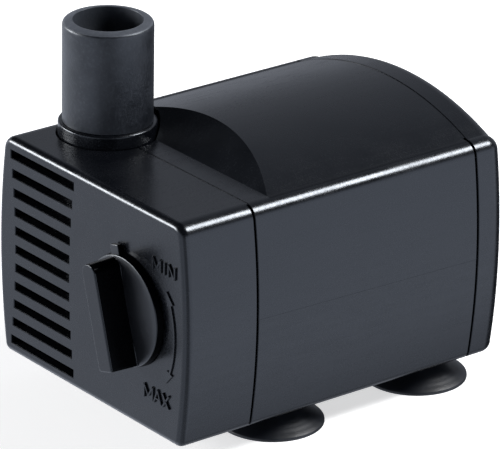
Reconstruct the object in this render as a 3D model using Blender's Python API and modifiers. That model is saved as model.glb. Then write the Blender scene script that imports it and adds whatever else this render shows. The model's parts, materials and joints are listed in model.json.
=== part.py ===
"""Small fountain submersible pump, modelled as its separate pieces.

The pump frame has X across the pump, Y from the intake face to the rear and Z up.
Inside it, y = 0 is the intake face and z = 0 the underside of the casing. One root
empty then moves the whole pump so that the middle of its footprint, under the
suction cups, is the world origin.
"""
import bmesh
import bpy
from math import asin, cos, hypot, pi, radians, sin, sqrt
from mathutils import Matrix, Vector

# ---------------------------------------------------------------- driving sizes
MM = 0.001
FIT = 0.20 * MM                       # clearance between pieces that touch
SAME_POINT = 0.0001 * MM

HALF_WIDTH = 22.3 * MM                # at the bulge of the side walls
SIDE_BULGE = 1.4 * MM                 # how far each side wall bows out
BODY_HEIGHT = 33.3 * MM               # underside to the flat front deck
ARCH_RISE = 4.15 * MM                 # crown of the motor roof above the deck
ARCH_HALF_CHORD = 18.85 * MM          # the roof's arch stands on the deck this far out
SLOPE_RUN = 1.28                      # run for each unit of rise, roof's front slope
TOP_RADIUS = 2.2 * MM
BOTTOM_RADIUS = 1.3 * MM
FRONT_RADIUS = 1.1 * MM
REAR_RADIUS = 2.4 * MM
WALL = 1.4 * MM
LIP_INSET = WALL + FIT                # a spigot that enters the neighbouring shell
LIP_WALL = 1.0 * MM
SEAM_GAP = 0.35 * MM
FRONT_SEAM = 12.3 * MM
DECK_END = 16.2 * MM                  # where the deck meets the roof's front slope
REAR_SEAM = 51.9 * MM
REAR_END = 57.2 * MM

SLOT_COUNT = 11
SLOT_PITCH = 2.86 * MM
SLOT_HEIGHT = 1.2 * MM
SLOT_MIDDLE = 16.6 * MM
SLOT_LEFT = -18.0 * MM                # ends of the middle slot
SLOT_RIGHT = -5.1 * MM
SLOT_FLARE = 1.1 * MM                 # the outer slots run this much further

KNOB_X = 9.0 * MM
KNOB_Z = 17.0 * MM
KNOB_TILT = radians(17)               # the grip leans to the left at its top
POINTER_TILT = radians(13.5)
KNOB_RADIUS = 8.05 * MM               # of the disc's front edge
KNOB_DRAFT = 0.15 * MM                # the disc is this much wider at the face
KNOB_RIM = 1.2 * MM                   # the disc's front, ahead of the intake face
GRIP_LENGTH = 15.6 * MM
GRIP_WIDTH = 3.4 * MM
GRIP_HEIGHT = 4.4 * MM
POINTER_REACH = 9.45 * MM
POINTER_FRONT = 1.0 * MM
KNOB_SHAFT = 2.3 * MM
SHAFT_TAIL = 4.15 * MM                # the knob's shaft ends this far behind the face
SHUTTER_Y = 2.2 * MM
SHUTTER_THICKNESS = 1.0 * MM
SHUTTER_REACH = 13.9 * MM
SHUTTER_HALF_ANGLE = radians(33)

AXIS_Z = 18.4 * MM                    # pump shaft, on x = 0
EYE_RADIUS = 4.9 * MM
CHAMBER_RADIUS = 11.9 * MM
CHAMBER_FRONT = 5.7 * MM
CHAMBER_BACK = 19.3 * MM
VOLUTE_RADIUS = 10.4 * MM
VOLUTE_BACK = 17.8 * MM
SKIRT_RADIUS = 9.6 * MM
SHAFT_RADIUS = 1.0 * MM
SHAFT_FRONT = 5.4 * MM
SHAFT_BACK = 45.3 * MM
IMPELLER_RADIUS = 8.8 * MM
HUB_RADIUS = 2.2 * MM
MAGNET_RADIUS = 4.6 * MM
MAGNET_FRONT = 27.0 * MM
MAGNET_BACK = 42.6 * MM
CAN_RADIUS = 5.9 * MM
CAN_BACK = 46.4 * MM
BULKHEAD = 25.0 * MM
BULKHEAD_THICKNESS = 1.4 * MM

OUTLET_X = -13.0 * MM
OUTLET_Y = 12.5 * MM
COLLAR_RADIUS = 7.1 * MM
COLLAR_TOP = 35.3 * MM
NECK_BORE = 5.7 * MM
RISER_RADIUS = 6.5 * MM               # takes a half-inch hose
RISER_BORE = 4.9 * MM
RISER_TOP = 50.0 * MM
SPIGOT_RADIUS = 5.45 * MM
SPIGOT_BORE = 4.3 * MM
SPIGOT_BOTTOM = 26.0 * MM

STACK_FRONT = 29.5 * MM
STACK_BACK = 41.5 * MM
YOKE_LOW = 4.6 * MM
YOKE_HIGH = 8.6 * MM
LEG_INNER = 13.0 * MM
LEG_OUTER = 17.6 * MM
POLE_REACH = radians(58)
COIL_GROWTH = 2.5 * MM

GLAND_Z = 8.5 * MM
GLAND_BORE = 2.0 * MM
GLAND_END = 58.6 * MM

CUP_X = 13.8 * MM
CUP_ROWS = (21.7 * MM, 48.0 * MM)
CUP_DROP = 4.0 * MM                   # casing underside above the ground
CUP_RADIUS = 7.6 * MM
STUD_RADIUS = 1.6 * MM
SOCKET_DEPTH = 3.0 * MM
BOSS_RADIUS = 3.1 * MM

KNOB_FRONT = -(KNOB_RIM + GRIP_HEIGHT)
PUMP_ORIGIN = Vector((0, -(KNOB_FRONT + GLAND_END) / 2, CUP_DROP))

# ---------------------------------------------------------------- scene set-up
for old in list(bpy.data.objects):
    bpy.data.objects.remove(old, do_unlink=True)
parts = bpy.data.collections.new("fountain_pump")
cutters = bpy.data.collections.new("cutters")
bpy.context.scene.collection.children.link(parts)
bpy.context.scene.collection.children.link(cutters)


def empty(name, place, parent=None):
    """An empty at a pump-frame point; the moving pieces hang from one of these."""
    obj = bpy.data.objects.new(name, None)
    obj.location = place - (parent["place"] if parent else Vector())
    obj["place"] = place
    obj.parent = parent["object"] if parent else None
    parts.objects.link(obj)
    return {"object": obj, "place": place}


root = {"object": bpy.data.objects.new("pump_root", None), "place": Vector()}
root["object"].location = PUMP_ORIGIN
parts.objects.link(root["object"])
COVER = empty("cover_slide_axis", Vector((0, FRONT_SEAM, BODY_HEIGHT / 2)), root)
KNOB = empty("knob_axis", Vector((KNOB_X, 0, KNOB_Z)), COVER)
ROTOR = empty("rotor_axis", Vector((0, MAGNET_FRONT, AXIS_Z)), root)
RISER = empty("riser_axis", Vector((OUTLET_X, OUTLET_Y, COLLAR_TOP)), root)


def material(name, colour, roughness, metallic=0.0):
    made = bpy.data.materials.new(name)
    made.use_nodes = True
    shader = made.node_tree.nodes["Principled BSDF"]
    shader.inputs["Base Color"].default_value = (*colour, 1)
    shader.inputs["Roughness"].default_value = roughness
    shader.inputs["Metallic"].default_value = metallic
    return made


CASING = (0.045, 0.050, 0.060)
BLACK = (0.015, 0.015, 0.017)
GREY = (0.22, 0.23, 0.24)
WHITE = (0.80, 0.79, 0.76)
STEEL = (0.42, 0.43, 0.45)
COPPER = (0.60, 0.22, 0.08)
RESIN = (0.020, 0.018, 0.018)
AMBER = (0.45, 0.26, 0.07)


# ---------------------------------------------------------------- mesh helpers
def add(name, mesh, group=root, place=Vector(), turn=(0, 0, 0), look=None, cutter=False):
    """Put a mesh in the scene at a pump-frame place, under its axis empty."""
    obj = bpy.data.objects.new(name, mesh)
    obj.parent = group["object"]
    obj.location = place - group["place"]
    obj.rotation_euler = turn
    if cutter:
        cutters.objects.link(obj)
        obj.hide_render = True
        obj.display_type = "WIRE"
        return obj
    parts.objects.link(obj)
    colour, roughness, metallic = look
    obj.data.materials.append(material(name + "_look", colour, roughness, metallic))
    return obj


def finish_mesh(bm, name):
    """Turn a bmesh into a mesh whose faces all look outwards, smooth where round."""
    bmesh.ops.recalc_face_normals(bm, faces=bm.faces)
    mesh = bpy.data.meshes.new(name)
    bm.to_mesh(mesh)
    bm.free()
    mesh.shade_smooth()
    mesh.set_sharp_from_angle(angle=radians(32))
    return mesh


def box_mesh(name, low, high):
    bm = bmesh.new()
    low = Vector(low)
    high = Vector(high)
    size = high - low
    spot = Matrix.Translation((low + high) / 2) @ Matrix.Diagonal((*size, 1))
    bmesh.ops.create_cube(bm, size=1.0, matrix=spot)
    return finish_mesh(bm, name)


def rod_mesh(name, radius, length, sides=48, along="Z", start=Vector()):
    """A cylinder from start, along +Y or +Z."""
    bm = bmesh.new()
    turn = Matrix.Rotation(-pi / 2, 4, "X") if along == "Y" else Matrix()
    spot = Matrix.Translation(start) @ turn @ Matrix.Translation((0, 0, length / 2))
    bmesh.ops.create_cone(bm, cap_ends=True, segments=sides, radius1=radius,
                          radius2=radius, depth=length, matrix=spot)
    return finish_mesh(bm, name)


def turned(name, profile, closed, steps=48, **placing):
    """A profile of (radius, height) points, top to bottom outside, spun about Z."""
    mesh = bpy.data.meshes.new(name)
    points = [(radius, 0, height) for radius, height in profile]
    edges = [(i, i + 1) for i in range(len(points) - 1)]
    if closed:
        edges.append((len(points) - 1, 0))
    mesh.from_pydata(points, edges, [])
    obj = add(name, mesh, **placing)
    spin = obj.modifiers.new("turn", "SCREW")
    spin.steps = steps
    spin.render_steps = steps
    spin.use_merge_vertices = True
    spin.merge_threshold = 0.00002
    spin.use_smooth_shade = True
    return obj


ALONG_Y = (-pi / 2, 0, 0)             # turns a piece's own +Z to the pump's +Y


def loft(name, loops, ring=False):
    """Skin between loops of equal length, with end caps or closed into a ring.

    Loops may share points: there the skin between them closes up to nothing.
    """
    bm = bmesh.new()
    rows = [[bm.verts.new(point) for point in loop] for loop in loops]
    count = len(rows[0])
    pairs = list(zip(rows, rows[1:]))
    if ring:
        pairs.append((rows[-1], rows[0]))
    for one, two in pairs:
        for i in range(count):
            j = (i + 1) % count
            bm.faces.new((one[i], one[j], two[j], two[i]))
    if not ring:
        bm.faces.new(reversed(rows[0]))
        bm.faces.new(rows[-1])
    bmesh.ops.remove_doubles(bm, verts=bm.verts, dist=SAME_POINT)
    return finish_mesh(bm, name)


def boolean(obj, cutter, operation="DIFFERENCE"):
    step = obj.modifiers.new(operation.lower(), "BOOLEAN")
    step.operation = operation
    step.solver = "EXACT"
    step.object = cutter


def rounded(obj, width, segments=2, angle=40):
    edge = obj.modifiers.new("round", "BEVEL")
    edge.width = width
    edge.segments = segments
    edge.limit_method = "ANGLE"
    edge.angle_limit = radians(angle)
    edge.harden_normals = False


def helper(name, mesh, **placing):
    """A cutter, or a piece that is joined onto another."""
    return add(name, mesh, cutter=True, **placing)


# ---------------------------------------------------------------- casing section
SIDE_ARC = ((BODY_HEIGHT / 2) ** 2 + SIDE_BULGE ** 2) / (2 * SIDE_BULGE)
SIDE_CENTRE = HALF_WIDTH - SIDE_ARC
ROOF_ARC = (ARCH_HALF_CHORD ** 2 + ARCH_RISE ** 2) / (2 * ARCH_RISE)
ROOF_CENTRE = BODY_HEIGHT + ARCH_RISE - ROOF_ARC
FILLET_STEPS = 4
SIDE_STEPS = 6
ROOF_STEPS = 8
LEAST_RADIUS = 0.3 * MM


def arc(centre, radius, start, end, steps):
    angles = [start + (end - start) * i / steps for i in range(steps + 1)]
    return [(centre[0] + radius * cos(a), centre[1] + radius * sin(a)) for a in angles]


def section(inset, arched):
    """The casing's (x, z) outline, moved inwards by inset, from the bottom right.

    The flat and the arched outline differ only between the feet of the roof's arch.
    """
    side = SIDE_ARC - inset
    low = max(BOTTOM_RADIUS - inset, LEAST_RADIUS)
    top = max(TOP_RADIUS - inset, LEAST_RADIUS)
    middle = BODY_HEIGHT / 2
    deck = BODY_HEIGHT - inset
    low_z = inset + low
    low_x = SIDE_CENTRE + sqrt((side - low) ** 2 - (low_z - middle) ** 2)
    low_side = asin((low_z - middle) / (side - low))
    top_side = asin((deck - top - middle) / (side - top))
    top_x = SIDE_CENTRE + (side - top) * cos(top_side)
    half = arc((low_x, low_z), low, -pi / 2, low_side, FILLET_STEPS)
    half += arc((SIDE_CENTRE, middle), side, low_side, top_side, SIDE_STEPS)[1:-1]
    half += arc((top_x, deck - top), top, top_side, pi / 2, FILLET_STEPS)
    roof = ROOF_ARC - inset
    foot = asin((deck - ROOF_CENTRE) / roof)
    crown = arc((0, ROOF_CENTRE), roof, foot, pi / 2, ROOF_STEPS)
    half += [(x, z if arched else deck) for x, z in crown]
    return half + [(-x, z) for x, z in reversed(half[:-1])]


def station(y, inset=0.0, arched=False):
    return [(x, y, z) for x, z in section(inset, arched)]


def slope_station(inset=0.0):
    """The crease where the roof's sloping front face meets the roof."""
    start = DECK_END + inset * (hypot(1, SLOPE_RUN) - SLOPE_RUN)
    deck = BODY_HEIGHT - inset
    return [(x, start + SLOPE_RUN * max(z - deck, 0), z)
            for x, z in section(inset, True)]


def rounded_end(y, radius, direction, arched, steps=4):
    """Loops that round a closed end over, from the side wall to the end face."""
    turns = [pi / 2 * i / steps for i in range(steps + 1)]
    return [station(y + direction * radius * (1 - sin(a)), radius * (1 - cos(a)), arched)
            for a in turns]


# ---------------------------------------------------------------- front cover
COVER_BACK = FRONT_SEAM - SEAM_GAP / 2
HOUSING_FRONT = FRONT_SEAM + SEAM_GAP / 2


def slot_reach(z):
    """The grille's outer slots are a little longer than its middle ones."""
    return SLOT_FLARE * ((z - SLOT_MIDDLE) / (SLOT_PITCH * (SLOT_COUNT // 2))) ** 2


def front_cover():
    loops = list(reversed(rounded_end(0, FRONT_RADIUS, 1, False)))
    loops += [station(COVER_BACK), station(COVER_BACK, WALL), station(WALL, WALL)]
    cover = add("front_cover", loft("front_cover", loops), COVER, look=(CASING, 0.42, 0))
    for index in range(SLOT_COUNT):
        z = SLOT_MIDDLE + (index - SLOT_COUNT // 2) * SLOT_PITCH
        reach = slot_reach(z)
        slot = box_mesh("slot", (SLOT_LEFT - reach, -MM, z - SLOT_HEIGHT / 2),
                        (SLOT_RIGHT + reach, WALL + MM, z + SLOT_HEIGHT / 2))
        boolean(cover, helper(f"slot_cutter_{index + 1}", slot, group=COVER))
    face = Vector((KNOB_X, 0, KNOB_Z))
    start = face - Vector((0, MM, 0))
    hole = rod_mesh("hole", KNOB_SHAFT + FIT, WALL + 2 * MM, 32, "Y", start)
    boolean(cover, helper("knob_hole_cutter", hole, group=COVER))
    boolean(cover, helper("cover_notch_cutter", neck_notch(), group=COVER))
    return cover


def neck_notch():
    """The collar stands in a notch that is half in the cover, half in the housing."""
    foot = Vector((OUTLET_X, OUTLET_Y, BODY_HEIGHT - 6 * MM))
    return rod_mesh("notch", COLLAR_RADIUS + FIT, 20 * MM, 64, "Z", foot)


# ---------------------------------------------------------------- flow regulator
def flow_knob():
    face = Vector((KNOB_X, 0, KNOB_Z))
    profile = [(0, KNOB_RIM), (KNOB_RADIUS - 0.25 * MM, KNOB_RIM),
               (KNOB_RADIUS, KNOB_RIM - 0.25 * MM), (KNOB_RADIUS + KNOB_DRAFT, FIT),
               (KNOB_SHAFT, FIT), (KNOB_SHAFT, -SHAFT_TAIL), (0, -SHAFT_TAIL)]
    knob = turned("flow_knob", profile, False, 64, group=KNOB, place=face,
                  turn=(pi / 2, 0, 0), look=(CASING, 0.38, 0))
    grip = grip_mesh()
    grip_piece = helper("knob_grip", grip, group=KNOB, place=face,
                        turn=(0, -KNOB_TILT, 0))
    rounded(grip_piece, 0.35 * MM)
    boolean(knob, grip_piece, "UNION")
    tip = box_mesh("tip", (-0.9 * MM, -POINTER_FRONT, KNOB_RADIUS - 0.6 * MM),
                   (0.9 * MM, -FIT - 0.05 * MM, POINTER_REACH))
    boolean(knob, helper("knob_pointer", tip, group=KNOB, place=face,
                         turn=(0, -POINTER_TILT, 0)), "UNION")
    return knob


def grip_mesh():
    """The bar across the knob, narrower at its outer edge than at its root."""
    bm = bmesh.new()
    depth = GRIP_HEIGHT + 0.6 * MM
    middle = -(KNOB_RIM + GRIP_HEIGHT) + depth / 2
    size = Matrix.Diagonal((GRIP_WIDTH, depth, GRIP_LENGTH, 1))
    bmesh.ops.create_cube(bm, size=1.0, matrix=Matrix.Translation((0, middle, 0)) @ size)
    for vert in bm.verts:
        if vert.co.y < middle:
            vert.co.x *= 0.90
            vert.co.z *= 0.98
    return finish_mesh(bm, "grip")


def regulator_shutter():
    """A sector blade on the knob's shaft that swings over the chamber's intake eye."""
    centre = Vector((KNOB_X, SHUTTER_Y, KNOB_Z))
    outline = arc((0, 0), SHUTTER_REACH, pi / 2 - SHUTTER_HALF_ANGLE,
                  pi / 2 + SHUTTER_HALF_ANGLE, 14)
    outline += arc((0, 0), 2.8 * MM, pi / 2 + SHUTTER_HALF_ANGLE,
                   pi / 2 - SHUTTER_HALF_ANGLE, 8)
    loops = [[(x, y, z) for x, z in outline] for y in (0, SHUTTER_THICKNESS)]
    blade = add("regulator_shutter", loft("regulator_shutter", loops), KNOB, centre,
                look=(BLACK, 0.5, 0))
    hub = rod_mesh("hub", 3.8 * MM, SHUTTER_THICKNESS, 32, "Y")
    boolean(blade, helper("shutter_hub", hub, group=KNOB, place=centre), "UNION")
    bore = rod_mesh("bore", KNOB_SHAFT + FIT, 6 * MM, 32, "Y", Vector((0, -2 * MM, 0)))
    boolean(blade, helper("shutter_bore", bore, group=KNOB, place=centre))
    return blade


def knob_retainer():
    """The split clip behind the shutter that holds the knob in the cover."""
    front = SHUTTER_Y + SHUTTER_THICKNESS + FIT
    inner = KNOB_SHAFT + FIT
    thick = 0.6 * MM
    profile = [(3.9 * MM, thick), (3.9 * MM, 0), (inner, 0), (inner, thick)]
    clip = turned("knob_retainer", profile, True, 32, group=KNOB,
                  place=Vector((KNOB_X, front, KNOB_Z)), turn=ALONG_Y, look=(STEEL, 0.3, 1))
    split = box_mesh("split", (-0.7 * MM, front - MM, KNOB_Z - 6 * MM),
                     (0.7 * MM, front + 2 * MM, KNOB_Z))
    split.transform(Matrix.Translation((KNOB_X, 0, 0)))
    boolean(clip, helper("clip_split", split, group=KNOB))
    return clip


# ---------------------------------------------------------------- pump chamber
def pump_chamber():
    """Volute with the outlet neck: the collar round the riser is the neck's top."""
    axis = Vector((0, 0, AXIS_Z))
    outlet = Vector((OUTLET_X, OUTLET_Y, 0))
    depth = CHAMBER_BACK - CHAMBER_FRONT
    front = axis + Vector((0, CHAMBER_FRONT, 0))
    shell = add("pump_chamber", rod_mesh("pump_chamber", CHAMBER_RADIUS, depth, 64, "Y", front),
                look=(CASING, 0.4, 0))
    skirt = rod_mesh("skirt", SKIRT_RADIUS, BULKHEAD - FIT - CHAMBER_BACK + MM, 48, "Y",
                     axis + Vector((0, CHAMBER_BACK - MM, 0)))
    boolean(shell, helper("chamber_skirt", skirt), "UNION")
    elbow = box_mesh("elbow", (-19.0 * MM, OUTLET_Y - 6.2 * MM, 11.0 * MM),
                     (-4.0 * MM, OUTLET_Y + 6.2 * MM, 27.0 * MM))
    elbow_piece = helper("chamber_elbow", elbow)
    rounded(elbow_piece, 1.6 * MM, 3)
    boolean(shell, elbow_piece, "UNION")
    neck_profile = [(0, COLLAR_TOP), (COLLAR_RADIUS - 0.3 * MM, COLLAR_TOP),
                    (COLLAR_RADIUS, COLLAR_TOP - 0.3 * MM), (COLLAR_RADIUS, 28.6 * MM),
                    (5.95 * MM, 27.6 * MM), (5.95 * MM, 22.0 * MM), (0, 22.0 * MM)]
    neck = turned("outlet_neck", neck_profile, False, 64, place=outlet, cutter=True)
    boolean(shell, neck, "UNION")
    hollow = [("volute", VOLUTE_RADIUS, CHAMBER_FRONT - MM, VOLUTE_BACK),
              ("rotor_passage", CAN_RADIUS + FIT, VOLUTE_BACK - MM, CHAMBER_BACK + MM),
              ("skirt_bore", SKIRT_RADIUS - WALL, CHAMBER_BACK, BULKHEAD + MM)]
    for name, radius, start, end in hollow:
        cut = rod_mesh(name, radius, end - start, 48, "Y", axis + Vector((0, start, 0)))
        boolean(shell, helper(f"{name}_cutter", cut))
    passage = box_mesh("passage", (-17.2 * MM, OUTLET_Y - 4.2 * MM, 13.6 * MM),
                       (-7.0 * MM, OUTLET_Y + 4.2 * MM, 23.0 * MM))
    boolean(shell, helper("passage_cutter", passage))
    rise = rod_mesh("rise", RISER_BORE - 0.7 * MM, 10 * MM, 48, "Z",
                    outlet + Vector((0, 0, 20 * MM)))
    boolean(shell, helper("rise_cutter", rise))
    socket = rod_mesh("socket", NECK_BORE, 20 * MM, 48, "Z",
                      outlet + Vector((0, 0, SPIGOT_BOTTOM - 2 * FIT)))
    boolean(shell, helper("neck_bore_cutter", socket))
    return shell


def chamber_cover():
    """The plate in front of the impeller, with the intake eye and its three spokes."""
    axis = Vector((0, 0, AXIS_Z))
    front = CHAMBER_FRONT - FIT - 1.1 * MM
    plate = add("chamber_cover", rod_mesh("chamber_cover", CHAMBER_RADIUS - 0.4 * MM,
                1.1 * MM, 64, "Y", axis + Vector((0, front, 0))), look=(CASING, 0.42, 0))
    hub = rod_mesh("hub", 2.9 * MM, 3.4 * MM, 32, "Y", axis + Vector((0, front, 0)))
    boolean(plate, helper("eye_hub", hub), "UNION")
    for index in range(3):
        middle = pi / 2 + index * 2 * pi / 3
        spread = radians(50)
        outline = arc((0, 0), EYE_RADIUS, middle - spread, middle + spread, 10)
        outline += arc((0, 0), 2.95 * MM, middle + spread, middle - spread, 6)
        loops = [[(x, y, z + AXIS_Z) for x, z in outline] for y in (front - MM, front + 5 * MM)]
        boolean(plate, helper(f"eye_window_{index + 1}", loft("window", loops)))
    pocket = rod_mesh("pocket", 2.0 * MM, 4 * MM, 32, "Y",
                      axis + Vector((0, front + 0.7 * MM, 0)))
    boolean(plate, helper("front_bush_pocket", pocket))
    return plate


def ring_on_axis(name, outer, inner, front, back, look, group=root, steps=32):
    profile = [(outer, back), (outer, front), (inner, front), (inner, back)]
    return turned(name, profile, True, steps, group=group, place=Vector((0, 0, AXIS_Z)),
                  turn=ALONG_Y, look=look)


def o_ring(name, place, major, minor, turn=(0, 0, 0), group=root):
    ring = [(major + x, z) for x, z in arc((0, 0), minor, pi / 2, -3 * pi / 2, 8)[:-1]]
    return turned(name, ring, True, 28, group=group, place=place, turn=turn,
                  look=(BLACK, 0.7, 0))


# ---------------------------------------------------------------- rotor
def impeller():
    """Back plate, six swept vanes and the long hub that carries the magnet."""
    axis = Vector((0, 0, AXIS_Z))
    vane_front = 9.6 * MM
    plate_front = 15.0 * MM
    profile = [(0, MAGNET_BACK + 0.3 * MM), (HUB_RADIUS, MAGNET_BACK + 0.3 * MM),
               (HUB_RADIUS, MAGNET_FRONT - FIT), (3.8 * MM, MAGNET_FRONT - FIT),
               (3.8 * MM, 16.2 * MM), (IMPELLER_RADIUS, 16.2 * MM),
               (IMPELLER_RADIUS, plate_front), (3.0 * MM, plate_front),
               (3.0 * MM, 9.0 * MM), (0, 9.0 * MM)]
    wheel = turned("impeller", profile, False, 48, group=ROTOR, place=axis, turn=ALONG_Y,
                   look=(WHITE, 0.4, 0))
    for index in range(6):
        vane = vane_mesh(index * pi / 3, vane_front, plate_front + 0.4 * MM)
        boolean(wheel, helper(f"vane_{index + 1}", vane, group=ROTOR, place=axis), "UNION")
    bore = rod_mesh("bore", SHAFT_RADIUS + FIT, 60 * MM, 24, "Y")
    boolean(wheel, helper("impeller_bore", bore, group=ROTOR, place=axis))
    return wheel


def vane_mesh(start, front, back):
    """One vane: it sweeps back by half a radian from the hub to the tip."""
    steps = 5
    root_radius = 2.6 * MM
    tip_radius = IMPELLER_RADIUS - 0.3 * MM
    outer = []
    inner = []
    for i in range(steps + 1):
        radius = root_radius + (tip_radius - root_radius) * i / steps
        angle = start - 0.6 * i / steps
        half = 0.45 * MM / radius
        outer.append((radius * cos(angle + half), radius * sin(angle + half)))
        inner.append((radius * cos(angle - half), radius * sin(angle - half)))
    outline = outer + inner[::-1]
    return loft("vane", [[(x, y, z) for x, z in outline] for y in (front, back)])


# ---------------------------------------------------------------- motor housing
def motor_housing():
    lip_front = HOUSING_FRONT - 2.4 * MM
    step_back = HOUSING_FRONT + 1.2 * MM
    lip_inner = LIP_INSET + LIP_WALL
    inner_deck = DECK_END + WALL * (hypot(1, SLOPE_RUN) - SLOPE_RUN)
    housing_back = REAR_SEAM - SEAM_GAP / 2
    loops = [station(lip_front, LIP_INSET), station(HOUSING_FRONT, LIP_INSET),
             station(HOUSING_FRONT), station(DECK_END), slope_station(),
             station(housing_back, 0, True), station(housing_back, WALL, True),
             slope_station(WALL), station(inner_deck, WALL), station(step_back, WALL),
             station(step_back, lip_inner), station(lip_front, lip_inner)]
    housing = add("motor_housing", loft("motor_housing", loops, ring=True),
                  look=(CASING, 0.42, 0))
    for index, (x, y) in enumerate(cup_places()):
        foot = Vector((x, y, 0))
        boss = rod_mesh("boss", BOSS_RADIUS, SOCKET_DEPTH + 0.6 * MM, 32, "Z",
                        foot + Vector((0, 0, 0.6 * MM)))
        boolean(housing, helper(f"cup_boss_{index + 1}", boss), "UNION")
    for index, (x, y) in enumerate(cup_places()):
        socket = rod_mesh("socket", STUD_RADIUS + FIT, SOCKET_DEPTH + MM, 24, "Z",
                          Vector((x, y, -MM)))
        boolean(housing, helper(f"cup_socket_{index + 1}", socket))
    boolean(housing, helper("housing_notch_cutter", neck_notch()))
    return housing


def rotor_can():
    """The sealed well that the rotor turns in, on a bulkhead across the housing."""
    loops = [station(y, WALL + FIT, True) for y in (BULKHEAD, BULKHEAD + BULKHEAD_THICKNESS)]
    can = add("rotor_can", loft("rotor_can", loops), look=(BLACK, 0.4, 0))
    axis = Vector((0, 0, AXIS_Z))
    front = 21.4 * MM
    tube = rod_mesh("tube", CAN_RADIUS, CAN_BACK - front + MM, 48, "Y",
                    axis + Vector((0, front - MM, 0)))
    boolean(can, helper("can_tube", tube), "UNION")
    shoulder = rod_mesh("shoulder", 7.6 * MM, BULKHEAD - front, 48, "Y",
                        axis + Vector((0, front + 0.2 * MM, 0)))
    boolean(can, helper("can_shoulder", shoulder), "UNION")
    well = rod_mesh("well", CAN_RADIUS - 0.7 * MM, 30 * MM, 48, "Y",
                    axis + Vector((0, MAGNET_BACK + 1.2 * MM - 30 * MM, 0)))
    boolean(can, helper("can_well", well))
    pocket = rod_mesh("pocket", 2.0 * MM, 4.0 * MM, 32, "Y",
                      axis + Vector((0, CAN_BACK - 4.7 * MM, 0)))
    boolean(can, helper("can_bush_pocket", pocket))
    return can


def stator_core():
    """Laminated U round the coil, with poles that wrap the rotor can."""
    reach = CAN_RADIUS + 0.4 * MM
    pole_high = AXIS_Z + reach * sin(POLE_REACH)
    pole_low = AXIS_Z - reach * sin(POLE_REACH)
    right = [(0, YOKE_LOW), (LEG_OUTER, YOKE_LOW), (LEG_OUTER, pole_high)]
    right += arc((0, AXIS_Z), reach, POLE_REACH, -POLE_REACH, 12)
    right += [(LEG_INNER, pole_low), (LEG_INNER, YOKE_HIGH), (0, YOKE_HIGH)]
    outline = right + [(-x, z) for x, z in reversed(right[1:-1])]
    curve = bpy.data.curves.new("stator_core", "CURVE")
    curve.dimensions = "2D"
    curve.fill_mode = "BOTH"
    curve.extrude = (STACK_BACK - STACK_FRONT) / 2
    line = curve.splines.new("POLY")
    line.points.add(len(outline) - 1)
    for point, (x, z) in zip(line.points, outline):
        point.co = (x, z, 0, 1)
    line.use_cyclic_u = True
    middle = Vector((0, (STACK_FRONT + STACK_BACK) / 2, 0))
    return add("stator_core", curve, place=middle, turn=(pi / 2, 0, 0), look=(STEEL, 0.45, 0.9))


def coil_loop(x, growth, corner=0.0):
    """A loop round the yoke, grown outwards, with rounded corners if corner is set."""
    low = Vector((STACK_FRONT - growth, YOKE_LOW - growth))
    high = Vector((STACK_BACK + growth, YOKE_HIGH + growth))
    if not corner:
        spots = [(low.x, low.y), (high.x, low.y), (high.x, high.y), (low.x, high.y)]
        return [(x, y, z) for y, z in spots]
    spots = []
    spots += arc((high.x - corner, low.y + corner), corner, -pi / 2, 0, 3)
    spots += arc((high.x - corner, high.y - corner), corner, 0, pi / 2, 3)
    spots += arc((low.x + corner, high.y - corner), corner, pi / 2, pi, 3)
    spots += arc((low.x + corner, low.y + corner), corner, pi, 3 * pi / 2, 3)
    return [(x, y, z) for y, z in spots]


def coil_bobbin():
    core = 0.8 * MM
    flange = COIL_GROWTH + 0.2 * MM
    outer = LEG_INNER - 0.3 * MM
    inner = outer - 0.9 * MM
    loops = [coil_loop(-outer, flange), coil_loop(-inner, flange), coil_loop(-inner, core),
             coil_loop(inner, core), coil_loop(inner, flange), coil_loop(outer, flange),
             coil_loop(outer, FIT), coil_loop(-outer, FIT)]
    return add("coil_bobbin", loft("coil_bobbin", loops, ring=True), look=(WHITE, 0.5, 0))


def stator_coil():
    """The winding: its outside is ridged by the turns of the top layer."""
    turns = 16
    half = LEG_INNER - 1.4 * MM
    loops = []
    for i in range(2 * turns + 1):
        x = -half + 2 * half * i / (2 * turns)
        loops.append(coil_loop(x, COIL_GROWTH - (0 if i % 2 else 0.25 * MM), 1.2 * MM))
    loops.append(coil_loop(half, 1.0 * MM, 0.2 * MM))
    loops.append(coil_loop(-half, 1.0 * MM, 0.2 * MM))
    return add("stator_coil", loft("stator_coil", loops, ring=True), look=(COPPER, 0.35, 0.8))


def terminal_pin(name, side):
    """A pin in the bobbin's flange where an end of the winding is soldered."""
    x = side * (LEG_INNER - 0.75 * MM)
    foot = Vector((x, STACK_BACK + 1.4 * MM, YOKE_HIGH + COIL_GROWTH + 2 * FIT))
    pin = add(name, rod_mesh(name, 0.32 * MM, 4.0 * MM, 12, "Z"), place=foot,
              look=(STEEL, 0.25, 1))
    rounded(pin, 0.1 * MM, 1)
    return pin


def thermal_fuse():
    length = 7.0 * MM
    profile = [(0, length / 2), (0.5 * MM, length / 2), (0.85 * MM, length / 2 - 0.5 * MM),
               (0.85 * MM, -length / 2 + 0.5 * MM), (0.5 * MM, -length / 2), (0, -length / 2)]
    place = Vector((-8.0 * MM, STACK_BACK + 1.5 * MM, YOKE_HIGH + COIL_GROWTH + 1.3 * MM))
    return turned("thermal_fuse", profile, False, 20, place=place, turn=(0, pi / 2, 0),
                  look=(WHITE, 0.3, 0))


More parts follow.
